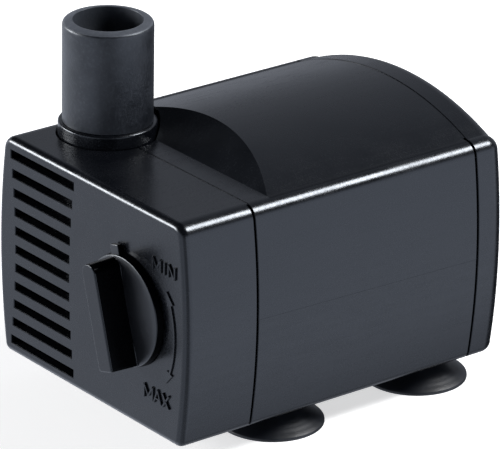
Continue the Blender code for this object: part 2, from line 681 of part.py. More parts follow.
def potting_resin():
    """The cast plug that seals the windings, poured in behind the stator."""
    front = STACK_BACK + COIL_GROWTH + 0.5 * MM
    loops = [station(y, WALL + FIT, True) for y in (front, REAR_SEAM - 1.2 * MM)]
    plug = add("potting_resin", loft("potting_resin", loops), look=(RESIN, 0.25, 0))
    axis = Vector((0, front - MM, AXIS_Z))
    recess = rod_mesh("recess", CAN_RADIUS + FIT, CAN_BACK + FIT - axis.y, 48, "Y", axis)
    boolean(plug, helper("resin_can_recess", recess))
    duct = rod_mesh("duct", 1.6 * MM, 12 * MM, 24, "Y", Vector((0, front - 2 * MM, GLAND_Z)))
    boolean(plug, helper("resin_wire_duct", duct))
    for index, (x, y) in enumerate(cup_places()[2:]):
        relief = rod_mesh("relief", BOSS_RADIUS + FIT, SOCKET_DEPTH + 4 * MM, 32, "Z",
                          Vector((x, y, -2.6 * MM)))
        boolean(plug, helper(f"resin_boss_relief_{index + 1}", relief))
    return plug


# ---------------------------------------------------------------- rear cover
def rear_cover():
    lip_front = REAR_SEAM - 0.65 * MM
    front = REAR_SEAM + SEAM_GAP / 2
    inner = LIP_INSET + LIP_WALL
    inner_back = REAR_END - 1.6 * MM
    loops = [station(inner_back, inner, True), station(lip_front, inner, True),
             station(lip_front, LIP_INSET, True), station(front, LIP_INSET, True),
             station(front, 0, True)]
    loops += rounded_end(REAR_END, REAR_RADIUS, -1, True, 5)
    cover = add("rear_cover", loft("rear_cover", loops), look=(CASING, 0.42, 0))
    hole = rod_mesh("hole", 2.9 * MM, 6 * MM, 32, "Y", Vector((0, REAR_END - 4 * MM, GLAND_Z)))
    boolean(cover, helper("gland_hole", hole))
    return cover


def cable_gland():
    """Rubber grommet in the rear cover: the way in for the supply cable."""
    inside = REAR_END - 1.6 * MM
    profile = [(3.3 * MM, GLAND_END), (4.0 * MM, GLAND_END - 0.5 * MM),
               (4.0 * MM, REAR_END + FIT), (2.7 * MM, REAR_END + FIT),
               (2.7 * MM, inside - FIT), (3.7 * MM, inside - FIT),
               (3.7 * MM, inside - 1.4 * MM), (GLAND_BORE, inside - 1.4 * MM),
               (GLAND_BORE, GLAND_END)]
    return turned("cable_gland", profile, True, 32, place=Vector((0, 0, GLAND_Z)),
                  turn=ALONG_Y, look=(BLACK, 0.7, 0))


# ---------------------------------------------------------------- outlet riser
def outlet_riser():
    """The tube that the hose goes on: its spigot plugs into the chamber's neck."""
    shoulder = COLLAR_TOP + FIT
    groove = 30.0 * MM
    profile = [(RISER_BORE + 0.25 * MM, RISER_TOP), (RISER_RADIUS - 0.4 * MM, RISER_TOP),
               (RISER_RADIUS, RISER_TOP - 0.4 * MM), (RISER_RADIUS, shoulder),
               (SPIGOT_RADIUS, shoulder), (SPIGOT_RADIUS, groove + 0.75 * MM),
               (SPIGOT_RADIUS - 0.45 * MM, groove + 0.75 * MM),
               (SPIGOT_RADIUS - 0.45 * MM, groove - 0.75 * MM),
               (SPIGOT_RADIUS, groove - 0.75 * MM), (SPIGOT_RADIUS, SPIGOT_BOTTOM),
               (SPIGOT_BORE, SPIGOT_BOTTOM), (SPIGOT_BORE, shoulder - MM),
               (RISER_BORE, shoulder + MM), (RISER_BORE, RISER_TOP - 0.25 * MM)]
    return turned("outlet_riser", profile, True, 48, group=RISER,
                  place=Vector((OUTLET_X, OUTLET_Y, 0)), look=(CASING, 0.5, 0))


# ---------------------------------------------------------------- suction cups
def cup_places():
    return [(side * CUP_X, row) for row in CUP_ROWS for side in (-1, 1)]


def suction_cup(name, x, y):
    """Stud, short neck and a shallow cone whose rim is the flat ring on the ground."""
    rim = 0.7 * MM
    top = -FIT
    profile = [(0, SOCKET_DEPTH - 2 * FIT), (STUD_RADIUS - 0.3 * MM, SOCKET_DEPTH - 2 * FIT),
               (STUD_RADIUS, SOCKET_DEPTH - 0.7 * MM), (STUD_RADIUS, top),
               (2.6 * MM, top), (2.8 * MM, -1.2 * MM), (4.6 * MM, -2.0 * MM),
               (CUP_RADIUS - 0.6 * MM, -CUP_DROP + 0.75 * MM),
               (CUP_RADIUS, -CUP_DROP + 0.35 * MM), (CUP_RADIUS, -CUP_DROP),
               (CUP_RADIUS - rim, -CUP_DROP), (4.8 * MM, -CUP_DROP + 0.9 * MM),
               (2.0 * MM, -CUP_DROP + 1.5 * MM), (0, -CUP_DROP + 1.6 * MM)]
    return turned(name, profile, False, 32, place=Vector((x, y, 0)), look=(BLACK, 0.45, 0))


# ---------------------------------------------------------------- build the pump
front_cover()
flow_knob()
regulator_shutter()
knob_retainer()
chamber_cover()
pump_chamber()
o_ring("chamber_seal", Vector((0, CHAMBER_BACK + 1.1 * MM, AXIS_Z)), 6.9 * MM, 0.7 * MM, ALONG_Y)
impeller()
ring_on_axis("rotor_magnet", MAGNET_RADIUS, HUB_RADIUS + FIT, MAGNET_FRONT, MAGNET_BACK,
             (BLACK, 0.35, 0.2), ROTOR, 48)
add("rotor_shaft", rod_mesh("rotor_shaft", SHAFT_RADIUS, SHAFT_BACK - SHAFT_FRONT, 24, "Y"),
    place=Vector((0, SHAFT_FRONT, AXIS_Z)), look=(WHITE, 0.15, 0))
BUSH = (1.8 * MM, SHAFT_RADIUS + 0.15 * MM)
ring_on_axis("front_bush", *BUSH, 5.3 * MM, 7.8 * MM, (BLACK, 0.7, 0))
ring_on_axis("rear_bush", *BUSH, 44.1 * MM, 45.5 * MM, (BLACK, 0.7, 0))
ring_on_axis("front_thrust_washer", *BUSH, 8.1 * MM, 8.6 * MM, (WHITE, 0.3, 0))
ring_on_axis("rear_thrust_washer", *BUSH, 43.2 * MM, 43.7 * MM, (WHITE, 0.3, 0))
motor_housing()
rotor_can()
stator_core()
coil_bobbin()
stator_coil()
terminal_pin("terminal_pin_left", -1)
terminal_pin("terminal_pin_right", 1)
thermal_fuse()
potting_resin()
rear_cover()
cable_gland()
outlet_riser()
o_ring("riser_seal", Vector((OUTLET_X, OUTLET_Y, 30.0 * MM)), 5.33 * MM, 0.26 * MM, group=RISER)
for corner, (cup_x, cup_y) in zip(("front_left", "front_right", "rear_left", "rear_right"),
                                  cup_places()):
    suction_cup(f"suction_cup_{corner}", cup_x, cup_y)
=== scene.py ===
"""Looks of the small fountain pump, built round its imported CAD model.

Every moulded piece that shows is rebuilt finer than its CAD node and stands for it;
the sealed inner pieces stay CAD nodes with their own materials. Sizes are in metres.
In the pump frame y = 0 is the intake face and z = 0 the underside of the casing.
"""
import json
from math import asin, cos, hypot, pi, radians, sin, sqrt

import bmesh
import bpy
from mathutils import Matrix, Vector


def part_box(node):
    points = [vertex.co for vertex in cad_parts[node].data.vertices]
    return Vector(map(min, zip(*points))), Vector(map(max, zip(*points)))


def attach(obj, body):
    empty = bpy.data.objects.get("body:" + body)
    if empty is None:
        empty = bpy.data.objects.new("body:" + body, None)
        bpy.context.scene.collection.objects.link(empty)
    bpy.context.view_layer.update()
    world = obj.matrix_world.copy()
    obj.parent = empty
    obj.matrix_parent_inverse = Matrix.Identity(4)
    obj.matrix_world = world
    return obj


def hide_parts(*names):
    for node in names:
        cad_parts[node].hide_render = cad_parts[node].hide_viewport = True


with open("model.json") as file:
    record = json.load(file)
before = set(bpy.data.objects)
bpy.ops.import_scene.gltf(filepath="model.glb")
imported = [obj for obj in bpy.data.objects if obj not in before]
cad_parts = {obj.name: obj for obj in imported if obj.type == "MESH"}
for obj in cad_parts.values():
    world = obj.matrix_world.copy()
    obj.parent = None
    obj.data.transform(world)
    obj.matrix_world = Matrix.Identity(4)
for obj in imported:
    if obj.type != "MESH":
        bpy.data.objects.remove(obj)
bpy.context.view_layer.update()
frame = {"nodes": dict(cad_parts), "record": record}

MM = 0.001
COVER_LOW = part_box("front_cover")[0]
ORIGIN = Vector((0, COVER_LOW.y, COVER_LOW.z))

# ---------------------------------------------------------------- sizes, as in the CAD
FIT = 0.20 * MM
HALF_WIDTH = 22.3 * MM
SIDE_BULGE = 1.4 * MM
BODY_HEIGHT = 33.3 * MM
ARCH_RISE = 4.15 * MM
ARCH_HALF_CHORD = 18.85 * MM
SLOPE_RUN = 1.28
TOP_RADIUS = 2.2 * MM
BOTTOM_RADIUS = 1.3 * MM
FRONT_RADIUS = 1.1 * MM
REAR_RADIUS = 2.4 * MM
WALL = 1.4 * MM
LIP_INSET = WALL + FIT
LIP_WALL = 1.0 * MM
SEAM_GAP = 0.35 * MM
FRONT_SEAM = 12.3 * MM
DECK_END = 16.2 * MM
REAR_SEAM = 51.9 * MM
REAR_END = 57.2 * MM
SLOT_COUNT = 11
SLOT_PITCH = 2.86 * MM
SLOT_HEIGHT = 1.2 * MM
SLOT_MIDDLE = 16.6 * MM
SLOT_LEFT = -18.0 * MM
SLOT_RIGHT = -5.1 * MM
SLOT_FLARE = 1.1 * MM
KNOB_PLACE = Vector((9.0 * MM, 0, 17.0 * MM))
KNOB_TILT = radians(17)
POINTER_TILT = radians(13.5)
KNOB_RADIUS = 8.05 * MM
KNOB_DRAFT = 0.15 * MM
KNOB_RIM = 1.2 * MM
KNOB_DOME = 0.25 * MM                 # the disc's middle stands this far ahead of its rim
KNOB_SHAFT = 2.3 * MM
SHAFT_TAIL = 4.15 * MM
GRIP_FRONT = 5.6 * MM
GRIP_HALF_WIDTH = 1.54 * MM
GRIP_HALF_LENGTH = 7.66 * MM
POINTER_REACH = 9.45 * MM
POINTER_FRONT = 1.0 * MM
AXIS_Z = 18.4 * MM
OUTLET = Vector((-13.0 * MM, 12.5 * MM, 0))
COLLAR_RADIUS = 7.1 * MM
COLLAR_TOP = 35.3 * MM
RISER_RADIUS = 6.5 * MM
RISER_BORE = 4.9 * MM
RISER_TOP = 50.0 * MM
GLAND_Z = 8.5 * MM
GLAND_END = 58.6 * MM
CUP_DROP = 4.0 * MM
CUP_RADIUS = 7.6 * MM
CUPS = {"suction_cup_front_left": (-13.8 * MM, 21.7 * MM),
        "suction_cup_front_right": (13.8 * MM, 21.7 * MM),
        "suction_cup_rear_left": (-13.8 * MM, 48.0 * MM),
        "suction_cup_rear_right": (13.8 * MM, 48.0 * MM)}


# ---------------------------------------------------------------- node materials
PLASTIC_IOR = 1.50
COOL = (0.86, 0.92, 1.0, 1)           # the cast of light off black plastic
NEUTRAL = (1, 1, 1, 1)
WORN_EDGE = (0.53, 0.62)              # pointiness where edge wear starts and is full
SATIN_GRAIN = 3300                    # grains per metre
SATIN_DEPTH = 0.007 * MM
COARSE_GRAIN = 2300
COARSE_DEPTH = 0.022 * MM
RUBBER_DEPTH = 0.008 * MM
RING_DEPTH = 0.008 * MM


def nodes_of(name):
    """A new node material, its node tree and its shader."""
    made = bpy.data.materials.new(name)
    made.use_nodes = True
    tree = made.node_tree
    return made, tree, tree.nodes["Principled BSDF"]


def coordinates(tree, stretch=(1, 1, 1)):
    """Object coordinates, stretched so that a texture runs along one axis."""
    source = tree.nodes.new("ShaderNodeTexCoord")
    mapping = tree.nodes.new("ShaderNodeMapping")
    mapping.inputs["Scale"].default_value = stretch
    tree.links.new(source.outputs["Object"], mapping.inputs["Vector"])
    return mapping.outputs["Vector"]


def noise(tree, vector, scale, detail=3.0, rough=0.55):
    """Noise from 0 to 1 with about scale features per metre."""
    made = tree.nodes.new("ShaderNodeTexNoise")
    made.inputs["Scale"].default_value = scale
    made.inputs["Detail"].default_value = detail
    made.inputs["Roughness"].default_value = rough
    tree.links.new(vector, made.inputs["Vector"])
    return made.outputs["Fac"]


def remap(tree, value, low, high, to_low, to_high, smooth=False):
    """The value taken from the range low to high to another range, and held at its ends."""
    made = tree.nodes.new("ShaderNodeMapRange")
    made.interpolation_type = "SMOOTHSTEP" if smooth else "LINEAR"
    made.inputs["From Min"].default_value = low
    made.inputs["From Max"].default_value = high
    made.inputs["To Min"].default_value = to_low
    made.inputs["To Max"].default_value = to_high
    tree.links.new(value, made.inputs["Value"])
    return made.outputs["Result"]


def blend(tree, factor, one, two):
    """Mix of two colours or links by a factor link."""
    made = tree.nodes.new("ShaderNodeMix")
    made.data_type = "RGBA"
    tree.links.new(factor, made.inputs["Factor"])
    for socket, value in ((made.inputs["A"], one), (made.inputs["B"], two)):
        if isinstance(value, tuple):
            socket.default_value = (*value, 1)
        else:
            tree.links.new(value, socket)
    return made.outputs["Result"]


def combine(tree, operation, one, two):
    """A sum or product of two links, or of a link and a number."""
    made = tree.nodes.new("ShaderNodeMath")
    made.operation = operation
    for socket, value in zip(made.inputs, (one, two)):
        if isinstance(value, (int, float)):
            socket.default_value = value
        else:
            tree.links.new(value, socket)
    return made.outputs["Value"]


def relief(tree, shader, height, distance, under=None):
    """Bump on a shader, this deep in metres, on top of the bump under it."""
    made = tree.nodes.new("ShaderNodeBump")
    made.inputs["Distance"].default_value = distance
    tree.links.new(height, made.inputs["Height"])
    if under:
        tree.links.new(under, made.inputs["Normal"])
    tree.links.new(made.outputs["Normal"], shader.inputs["Normal"])
    return made.outputs["Normal"]


def edge_wear(tree):
    """High on outer edges, where handling has polished and paled the plastic."""
    geometry = tree.nodes.new("ShaderNodeNewGeometry")
    return remap(tree, geometry.outputs["Pointiness"], *WORN_EDGE, 0.0, 1.0)


def plastic(name, base, pale, roughness, grain=SATIN_GRAIN, depth=SATIN_DEPTH, wear=0.35,
            tint=COOL, gloss=0.5):
    """Spark-eroded satin plastic: fine grain, faint flow mottling and paler edges."""
    made, tree, shader = nodes_of(name)
    where = coordinates(tree)
    speckle = noise(tree, where, grain, 2.0, 0.6)
    mottle = noise(tree, where, 170, 4.0, 0.6)
    along = noise(tree, coordinates(tree, (1, 0.12, 1)), 900, 3.0, 0.65)
    spread = remap(tree, mottle, 0.32, 0.68, 0.0, 0.55)
    fleck = remap(tree, speckle, 0.50, 0.78, 0.0, 0.9)
    mixed = combine(tree, "ADD", spread, combine(tree, "MULTIPLY", fleck, 0.45))
    rub = combine(tree, "MULTIPLY", edge_wear(tree), wear)
    tree.links.new(blend(tree, combine(tree, "ADD", mixed, rub), base, pale),
                   shader.inputs["Base Color"])
    uneven = combine(tree, "ADD", remap(tree, mottle, 0.3, 0.7, -0.035, 0.035),
                     remap(tree, along, 0.3, 0.7, -0.03, 0.03))
    shine = combine(tree, "ADD", uneven, remap(tree, speckle, 0.3, 0.7, roughness - 0.04,
                                               roughness + 0.05))
    tree.links.new(shine, shader.inputs["Roughness"])
    under = relief(tree, shader, speckle, depth)
    relief(tree, shader, along, depth * 0.5, under)
    shader.inputs["IOR"].default_value = PLASTIC_IOR
    shader.inputs["Specular Tint"].default_value = tint
    shader.inputs["Specular IOR Level"].default_value = gloss
    return made


def rubber(name, base, pale, roughness, rings=0.0, gloss=0.5):
    """Moulded rubber; rings adds the turning marks of the mould round local Z."""
    made, tree, shader = nodes_of(name)
    where = coordinates(tree)
    fine = noise(tree, where, 2600, 3.0, 0.6)
    bloom = noise(tree, where, 240, 4.0, 0.62)
    haze = remap(tree, bloom, 0.42, 0.72, 0.0, 0.7)
    tree.links.new(blend(tree, haze, base, pale), shader.inputs["Base Color"])
    tree.links.new(remap(tree, bloom, 0.3, 0.7, roughness - 0.06, roughness + 0.08),
                   shader.inputs["Roughness"])
    under = relief(tree, shader, fine, RUBBER_DEPTH)
    if rings:
        wave = tree.nodes.new("ShaderNodeTexWave")
        wave.wave_type = "RINGS"
        wave.rings_direction = "Z"
        wave.inputs["Scale"].default_value = rings
        wave.inputs["Distortion"].default_value = 0.6
        wave.inputs["Detail"].default_value = 1.0
        tree.links.new(where, wave.inputs["Vector"])
        relief(tree, shader, wave.outputs["Fac"], RING_DEPTH, under)
    shader.inputs["IOR"].default_value = PLASTIC_IOR
    shader.inputs["Specular IOR Level"].default_value = gloss
    return made


def metal(name, base, tint, roughness):
    """Bright metal with marks that run along Z."""
    made, tree, shader = nodes_of(name)
    lines = noise(tree, coordinates(tree, (1, 1, 0.1)), 1400, 4.0, 0.65)
    cloud = noise(tree, coordinates(tree), 350, 3.0)
    tree.links.new(blend(tree, remap(tree, cloud, 0.3, 0.7, 0, 1), base, tint),
                   shader.inputs["Base Color"])
    tree.links.new(remap(tree, lines, 0.3, 0.7, roughness - 0.1, roughness + 0.12),
                   shader.inputs["Roughness"])
    relief(tree, shader, lines, 0.008 * MM)
    shader.inputs["Metallic"].default_value = 1.0
    return made


def banded(name, base, tint, roughness, axis, pitch, metallic):
    """Sheets or wires side by side along an axis, each a little different."""
    made, tree, shader = nodes_of(name)
    where = coordinates(tree)
    wave = tree.nodes.new("ShaderNodeTexWave")
    wave.bands_direction = axis
    wave.wave_profile = "SIN"
    wave.inputs["Scale"].default_value = 0.314 / pitch
    wave.inputs["Distortion"].default_value = 0.15
    tree.links.new(where, wave.inputs["Vector"])
    cloud = noise(tree, where, 500, 3.0)
    mixed = combine(tree, "MULTIPLY", wave.outputs["Fac"], remap(tree, cloud, 0.3, 0.7, 0.5, 1))
    tree.links.new(blend(tree, mixed, tint, base), shader.inputs["Base Color"])
    tree.links.new(remap(tree, cloud, 0.3, 0.7, roughness - 0.08, roughness + 0.1),
                   shader.inputs["Roughness"])
    relief(tree, shader, wave.outputs["Fac"], pitch * 0.12)
    shader.inputs["Metallic"].default_value = metallic
    return made


CASING = plastic("casing_satin", (0.0014, 0.0018, 0.0030), (0.0040, 0.0046, 0.0064), 0.24)
# A copy of the casing plastic, paler in colour but with almost no gloss, so the roof's slope and
# the strips beside it render darker: painted shade.
SLOPE_PAINTED_SHADE = plastic("slope_painted_shade", (0.0050, 0.0058, 0.0075), (0.0120, 0.0135, 0.0170), 0.24,
                gloss=0.08)
CHAMBER = plastic("chamber_satin", (0.009, 0.010, 0.012), (0.024, 0.026, 0.030), 0.32)
INNER = plastic("inner_black", (0.007, 0.008, 0.009), (0.018, 0.019, 0.021), 0.40)
RISER = plastic("riser_satin", (0.0040, 0.0050, 0.0070), (0.0340, 0.0380, 0.0470), 0.38,
                COARSE_GRAIN, COARSE_DEPTH)
# A paler copy of the riser plastic for the top of the riser's rim: painted light.
RISER_RIM_PAINTED_LIGHT = plastic("riser_rim_painted_light", (0.052, 0.058, 0.070), (0.110, 0.120, 0.140), 0.42,
                    COARSE_GRAIN, COARSE_DEPTH)
# A paler copy of the riser plastic for the bore's wall, where the inside lies in shade: painted
# light.
BORE_PAINTED_LIGHT = plastic("bore_painted_light", (0.026, 0.030, 0.037), (0.054, 0.060, 0.072), 0.42,
               COARSE_GRAIN, COARSE_DEPTH)
KNOB = plastic("knob_satin", (0.0006, 0.0008, 0.0014), (0.0022, 0.0026, 0.0038), 0.21,
               wear=0.15)
# A paler, rougher copy of the knob plastic for the disc's front: a rougher finish, and painted
# light in its paler colour.
KNOB_DISC_PAINTED_LIGHT = plastic("knob_disc_painted_light", (0.0040, 0.0046, 0.0062), (0.0100, 0.0112, 0.0144), 0.36,
                    wear=0.15)
# A near black copy of the knob plastic with almost no gloss for the knob's walls: painted shade.
KNOB_WALL_PAINTED_SHADE = plastic("knob_wall_painted_shade", (0.0004, 0.0005, 0.0008), (0.0012, 0.0014, 0.0020), 0.26,
                    wear=0.10, gloss=0.03)
WHITE = plastic("nylon_white", (0.72, 0.70, 0.64), (0.80, 0.79, 0.75), 0.38, 1800, 0.010 * MM,
                0.1, NEUTRAL)
CERAMIC = plastic("ceramic_white", (0.78, 0.77, 0.73), (0.86, 0.85, 0.82), 0.14, 2400,
                  0.003 * MM, 0.0, NEUTRAL)
FERRITE = plastic("ferrite_dark", (0.020, 0.020, 0.022), (0.052, 0.052, 0.055), 0.36, 1500,
                  0.020 * MM)
EPOXY = plastic("cast_epoxy", (0.010, 0.009, 0.009), (0.024, 0.022, 0.021), 0.20, 700,
                0.030 * MM)
BLACK_RUBBER = rubber("black_rubber", (0.008, 0.008, 0.009), (0.020, 0.020, 0.021), 0.55)
CUP_RUBBER = rubber("cup_rubber", (0.0070, 0.0085, 0.0120), (0.0160, 0.0190, 0.0250), 0.42,
                    rings=420, gloss=0.38)
LAMINATIONS = banded("stamped_sheets", (0.36, 0.37, 0.39), (0.09, 0.09, 0.10), 0.42, "Y",
                     0.5 * MM, 0.9)
WINDING = banded("enamelled_wire", (0.62, 0.20, 0.06), (0.24, 0.07, 0.02), 0.28, "X",
                 0.36 * MM, 0.75)
CLIP = metal("stainless_clip", (0.55, 0.55, 0.56), (0.42, 0.42, 0.44), 0.26)
PIN = metal("tinned_pin", (0.66, 0.66, 0.65), (0.52, 0.52, 0.53), 0.30)
LOOKS = {"casing_plastic": CASING, "riser_plastic": RISER, "knob_plastic": KNOB,
         "inner_plastic": INNER, "white_plastic": WHITE, "black_rubber": BLACK_RUBBER,
         "cup_rubber": CUP_RUBBER, "ceramic": CERAMIC, "ferrite": FERRITE,
         "lamination_steel": LAMINATIONS, "copper_winding": WINDING,
         "stainless_clip": CLIP, "tinned_pin": PIN, "epoxy": EPOXY}
for part in frame["record"]["subparts"]:
    shown = frame["nodes"][part["node"]]
    shown.data.materials.clear()
    shown.data.materials.append(LOOKS[part["material_slot"]])


# ---------------------------------------------------------------- mesh helpers
def arc(centre, radius, start, end, steps):
    """Points on a circle from one angle to another, both ends included."""
    angles = [start + (end - start) * i / steps for i in range(steps + 1)]
    return [(centre[0] + radius * cos(a), centre[1] + radius * sin(a)) for a in angles]


def closed(bm, name):
    """The finished mesh, with doubled points merged and its faces turned outwards."""
    bmesh.ops.remove_doubles(bm, verts=bm.verts, dist=0.0001 * MM)
    bmesh.ops.recalc_face_normals(bm, faces=bm.faces)
    mesh = bpy.data.meshes.new(name)
    bm.to_mesh(mesh)
    bm.free()
    return mesh


def skin(bm, loops, ring=False):
    """Faces between loops of equal length, with end caps or closed into a ring."""
    rows = [[bm.verts.new(point) for point in loop] for loop in loops]
    count = len(rows[0])
    pairs = list(zip(rows, rows[1:]))
    if ring:
        pairs.append((rows[-1], rows[0]))
    for one, two in pairs:
        for i in range(count):
            j = (i + 1) % count
            bm.faces.new((one[i], one[j], two[j], two[i]))
    if not ring:
        bm.faces.new(reversed(rows[0]))
        bm.faces.new(rows[-1])


def loft(name, loops, ring=False):
    """A mesh through a row of loops."""
    bm = bmesh.new()
    skin(bm, loops, ring)
    return closed(bm, name)


def lathe(name, profile, ring, steps=96, axis="Z", centre=Vector()):
    """A profile of (radius, height) points turned round an axis through centre."""
    bm = bmesh.new()
    turn = Matrix.Rotation(-pi / 2, 4, "X") if axis == "Y" else Matrix()
    turn = Matrix.Rotation(pi / 2, 4, "X") if axis == "-Y" else turn
    spot = Matrix.Translation(centre) @ turn
    columns = []
    for i in range(steps):
        angle = 2 * pi * i / steps
        columns.append([bm.verts.new(spot @ Vector((max(r, 0) * cos(angle),
                                                    max(r, 0) * sin(angle), h)))
                        for r, h in profile])
    count = len(profile)
    for i in range(steps):
        one = columns[i]
        two = columns[(i + 1) % steps]
        for k in range(count if ring else count - 1):
            m = (k + 1) % count
            quad = [one[k], two[k], two[m], one[m]]
            if profile[k][0] < 1e-9:
                quad.remove(two[k])
            if profile[m][0] < 1e-9:
                quad.remove(two[m])
            if len(quad) > 2:
                bm.faces.new(quad)
    return closed(bm, name)


def rounded_profile(points, steps):
    """Rounds each corner that has a radius; points are (r, h) or (r, h, radius)."""
    spots = [Vector(p[:2]) for p in points]
    sizes = [p[2] if len(p) > 2 else 0 for p in points]
    made = []
    for i, spot in enumerate(spots):
        before = spots[i - 1] - spot
        after = spots[(i + 1) % len(spots)] - spot
        size = min(sizes[i], before.length * 0.49, after.length * 0.49)
        if size < 1e-7 or spot.x < 1e-9:
            made.append(tuple(spot))
            continue
        start = spot + before.normalized() * size
        end = spot + after.normalized() * size
        for k in range(steps + 1):
            t = k / steps
            made.append(tuple(start * (1 - t) ** 2 + spot * 2 * t * (1 - t) + end * t * t))
    return made


def temporary(mesh):
    obj = bpy.data.objects.new(mesh.name, mesh)
    bpy.context.scene.collection.objects.link(obj)
    return obj


def evaluated(obj):
    """The object's mesh with its modifiers, as a new mesh; the object is removed."""
    view = bpy.context.evaluated_depsgraph_get()
    view.update()
    mesh = bpy.data.meshes.new_from_object(obj.evaluated_get(view))
    bpy.data.objects.remove(obj, do_unlink=True)
    return mesh


def combined(mesh, other, operation):
    """Boolean of two meshes in the same frame."""
    base = temporary(mesh)
    tool = temporary(other)
    step = base.modifiers.new("cut", "BOOLEAN")
    step.operation = operation
    step.solver = "EXACT"
    step.object = tool
    made = evaluated(base)
    bpy.data.objects.remove(tool, do_unlink=True)
    return made


def cut(mesh, *others):
    for other in others:
        mesh = combined(mesh, other, "DIFFERENCE")
    return mesh


def join(mesh, *others):
    for other in others:
        mesh = combined(mesh, other, "UNION")
    return mesh


def softened(mesh, width, segments=2, angle=35):
    """The mesh with its sharp edges rounded over."""
    obj = temporary(mesh)
    edge = obj.modifiers.new("round", "BEVEL")
    edge.width = width
    edge.segments = segments
    edge.limit_method = "ANGLE"
    edge.angle_limit = radians(angle)
    edge.use_clamp_overlap = True
    edge.miter_outer = "MITER_ARC"
    return evaluated(obj)


def gathered(name, meshes):
    """Several meshes as one, without joining their surfaces."""
    bm = bmesh.new()
    for mesh in meshes:
        bm.from_mesh(mesh)
    made = bpy.data.meshes.new(name)
    bm.to_mesh(made)
    bm.free()
    return made


def block(name, low, high):
    """A box between two corners, as a starting shape for softening or cutting."""
    bm = bmesh.new()
    low = Vector(low)
    high = Vector(high)
    spot = Matrix.Translation((low + high) / 2) @ Matrix.Diagonal((*(high - low), 1))
    bmesh.ops.create_cube(bm, size=1.0, matrix=spot)
    return closed(bm, name)


def piece(name, mesh, body, look, stands_for=(), place=Vector(), sharp=38, others=()):
    """A finished piece, in the pump frame, that rides on a body.

    others are further materials, each with the test for the faces that take it.
    """
    mesh.shade_smooth()
    mesh.set_sharp_from_angle(angle=radians(sharp))
    mesh.materials.clear()
    for made in (look, *(other for other, _ in others)):
        mesh.materials.append(made)
    for face in mesh.polygons:
        face.material_index = 0
        for index, (_, test) in enumerate(others):
            if test(face):
                face.material_index = index + 1
    obj = bpy.data.objects.new(name, mesh)
    bpy.context.scene.collection.objects.link(obj)
    obj.location = ORIGIN + place
    even = obj.modifiers.new("even_shading", "WEIGHTED_NORMAL")
    even.keep_sharp = True
    even.weight = 90
    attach(obj, body)
    if stands_for:
        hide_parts(*stands_for)
    return obj


# ---------------------------------------------------------------- casing outline
SIDE_ARC = ((BODY_HEIGHT / 2) ** 2 + SIDE_BULGE ** 2) / (2 * SIDE_BULGE)
SIDE_CENTRE = HALF_WIDTH - SIDE_ARC
ROOF_ARC = (ARCH_HALF_CHORD ** 2 + ARCH_RISE ** 2) / (2 * ARCH_RISE)
ROOF_CENTRE = BODY_HEIGHT + ARCH_RISE - ROOF_ARC
FILLET_STEPS = 10
SIDE_STEPS = 10
ROOF_STEPS = 28
ROOF_ROWS = 5
LEAST_RADIUS = 0.3 * MM
PARTING_HALF = 0.07 * MM
PARTING_HEIGHT = 0.027 * MM


def parting_z(y):
    """Height of the mould's parting line, which drops a little towards the rear."""
    return 16.9 * MM - 0.8 * MM * (y - FRONT_SEAM) / (REAR_SEAM - FRONT_SEAM)


def section(inset, arched, parting=None):
    """The casing's (x, z) outline, moved inwards by inset, from the bottom right."""
    side = SIDE_ARC - inset
    low = max(BOTTOM_RADIUS - inset, LEAST_RADIUS)
    top = max(TOP_RADIUS - inset, LEAST_RADIUS)
    middle = BODY_HEIGHT / 2
    deck = BODY_HEIGHT - inset
    low_z = inset + low
    low_x = SIDE_CENTRE + sqrt((side - low) ** 2 - (low_z - middle) ** 2)
    low_side = asin((low_z - middle) / (side - low))
    top_side = asin((deck - top - middle) / (side - top))
    top_x = SIDE_CENTRE + (side - top) * cos(top_side)
    line = asin(((parting or middle) - middle) / side)
    half_line = PARTING_HALF / side
    proud = side + (PARTING_HEIGHT if parting else 0)
    half = arc((low_x, low_z), low, -pi / 2, low_side, FILLET_STEPS)
    half += arc((SIDE_CENTRE, middle), side, low_side, line - half_line, SIDE_STEPS)[1:]
    half += arc((SIDE_CENTRE, middle), proud, line, line, 1)[1:]
    half += arc((SIDE_CENTRE, middle), side, line + half_line, top_side, SIDE_STEPS)[:-1]
    half += arc((top_x, deck - top), top, top_side, pi / 2, FILLET_STEPS)
    roof = ROOF_ARC - inset
    foot = asin((deck - ROOF_CENTRE) / roof)
    crown = arc((0, ROOF_CENTRE), roof, foot, pi / 2, ROOF_STEPS)
    half += [(x, z if arched else deck) for x, z in crown]
    return half + [(-x, z) for x, z in reversed(half[:-1])]


def station(y, inset=0.0, arched=False, parting=False):
    """The casing's outline at this depth, moved inwards by inset."""
    line = parting_z(y) if parting else None
    return [(x, y, z) for x, z in section(inset, arched, line)]


def slope_station(inset=0.0, parting=False):
    """The crease where the roof's sloping front face meets the roof."""
    start = DECK_END + inset * (hypot(1, SLOPE_RUN) - SLOPE_RUN)
    deck = BODY_HEIGHT - inset
    line = parting_z(start) if parting else None
    return [(x, start + SLOPE_RUN * max(z - deck, 0), z)
            for x, z in section(inset, True, line)]


def rounded_end(y, radius, direction, arched, steps):
    """Stations that round the casing over towards its end face at y."""
    turns = [pi / 2 * i / steps for i in range(steps + 1)]
    return [station(y + direction * radius * (1 - sin(a)), radius * (1 - cos(a)), arched)
            for a in turns]


EDGE = 0.07 * MM
COVER_BACK = FRONT_SEAM - SEAM_GAP / 2
HOUSING_FRONT = FRONT_SEAM + SEAM_GAP / 2


# ---------------------------------------------------------------- front cover
def slot_reach(z):
    """How much longer a slot is at each end; the outer slots flare the most."""
    return SLOT_FLARE * ((z - SLOT_MIDDLE) / (SLOT_PITCH * (SLOT_COUNT // 2))) ** 2


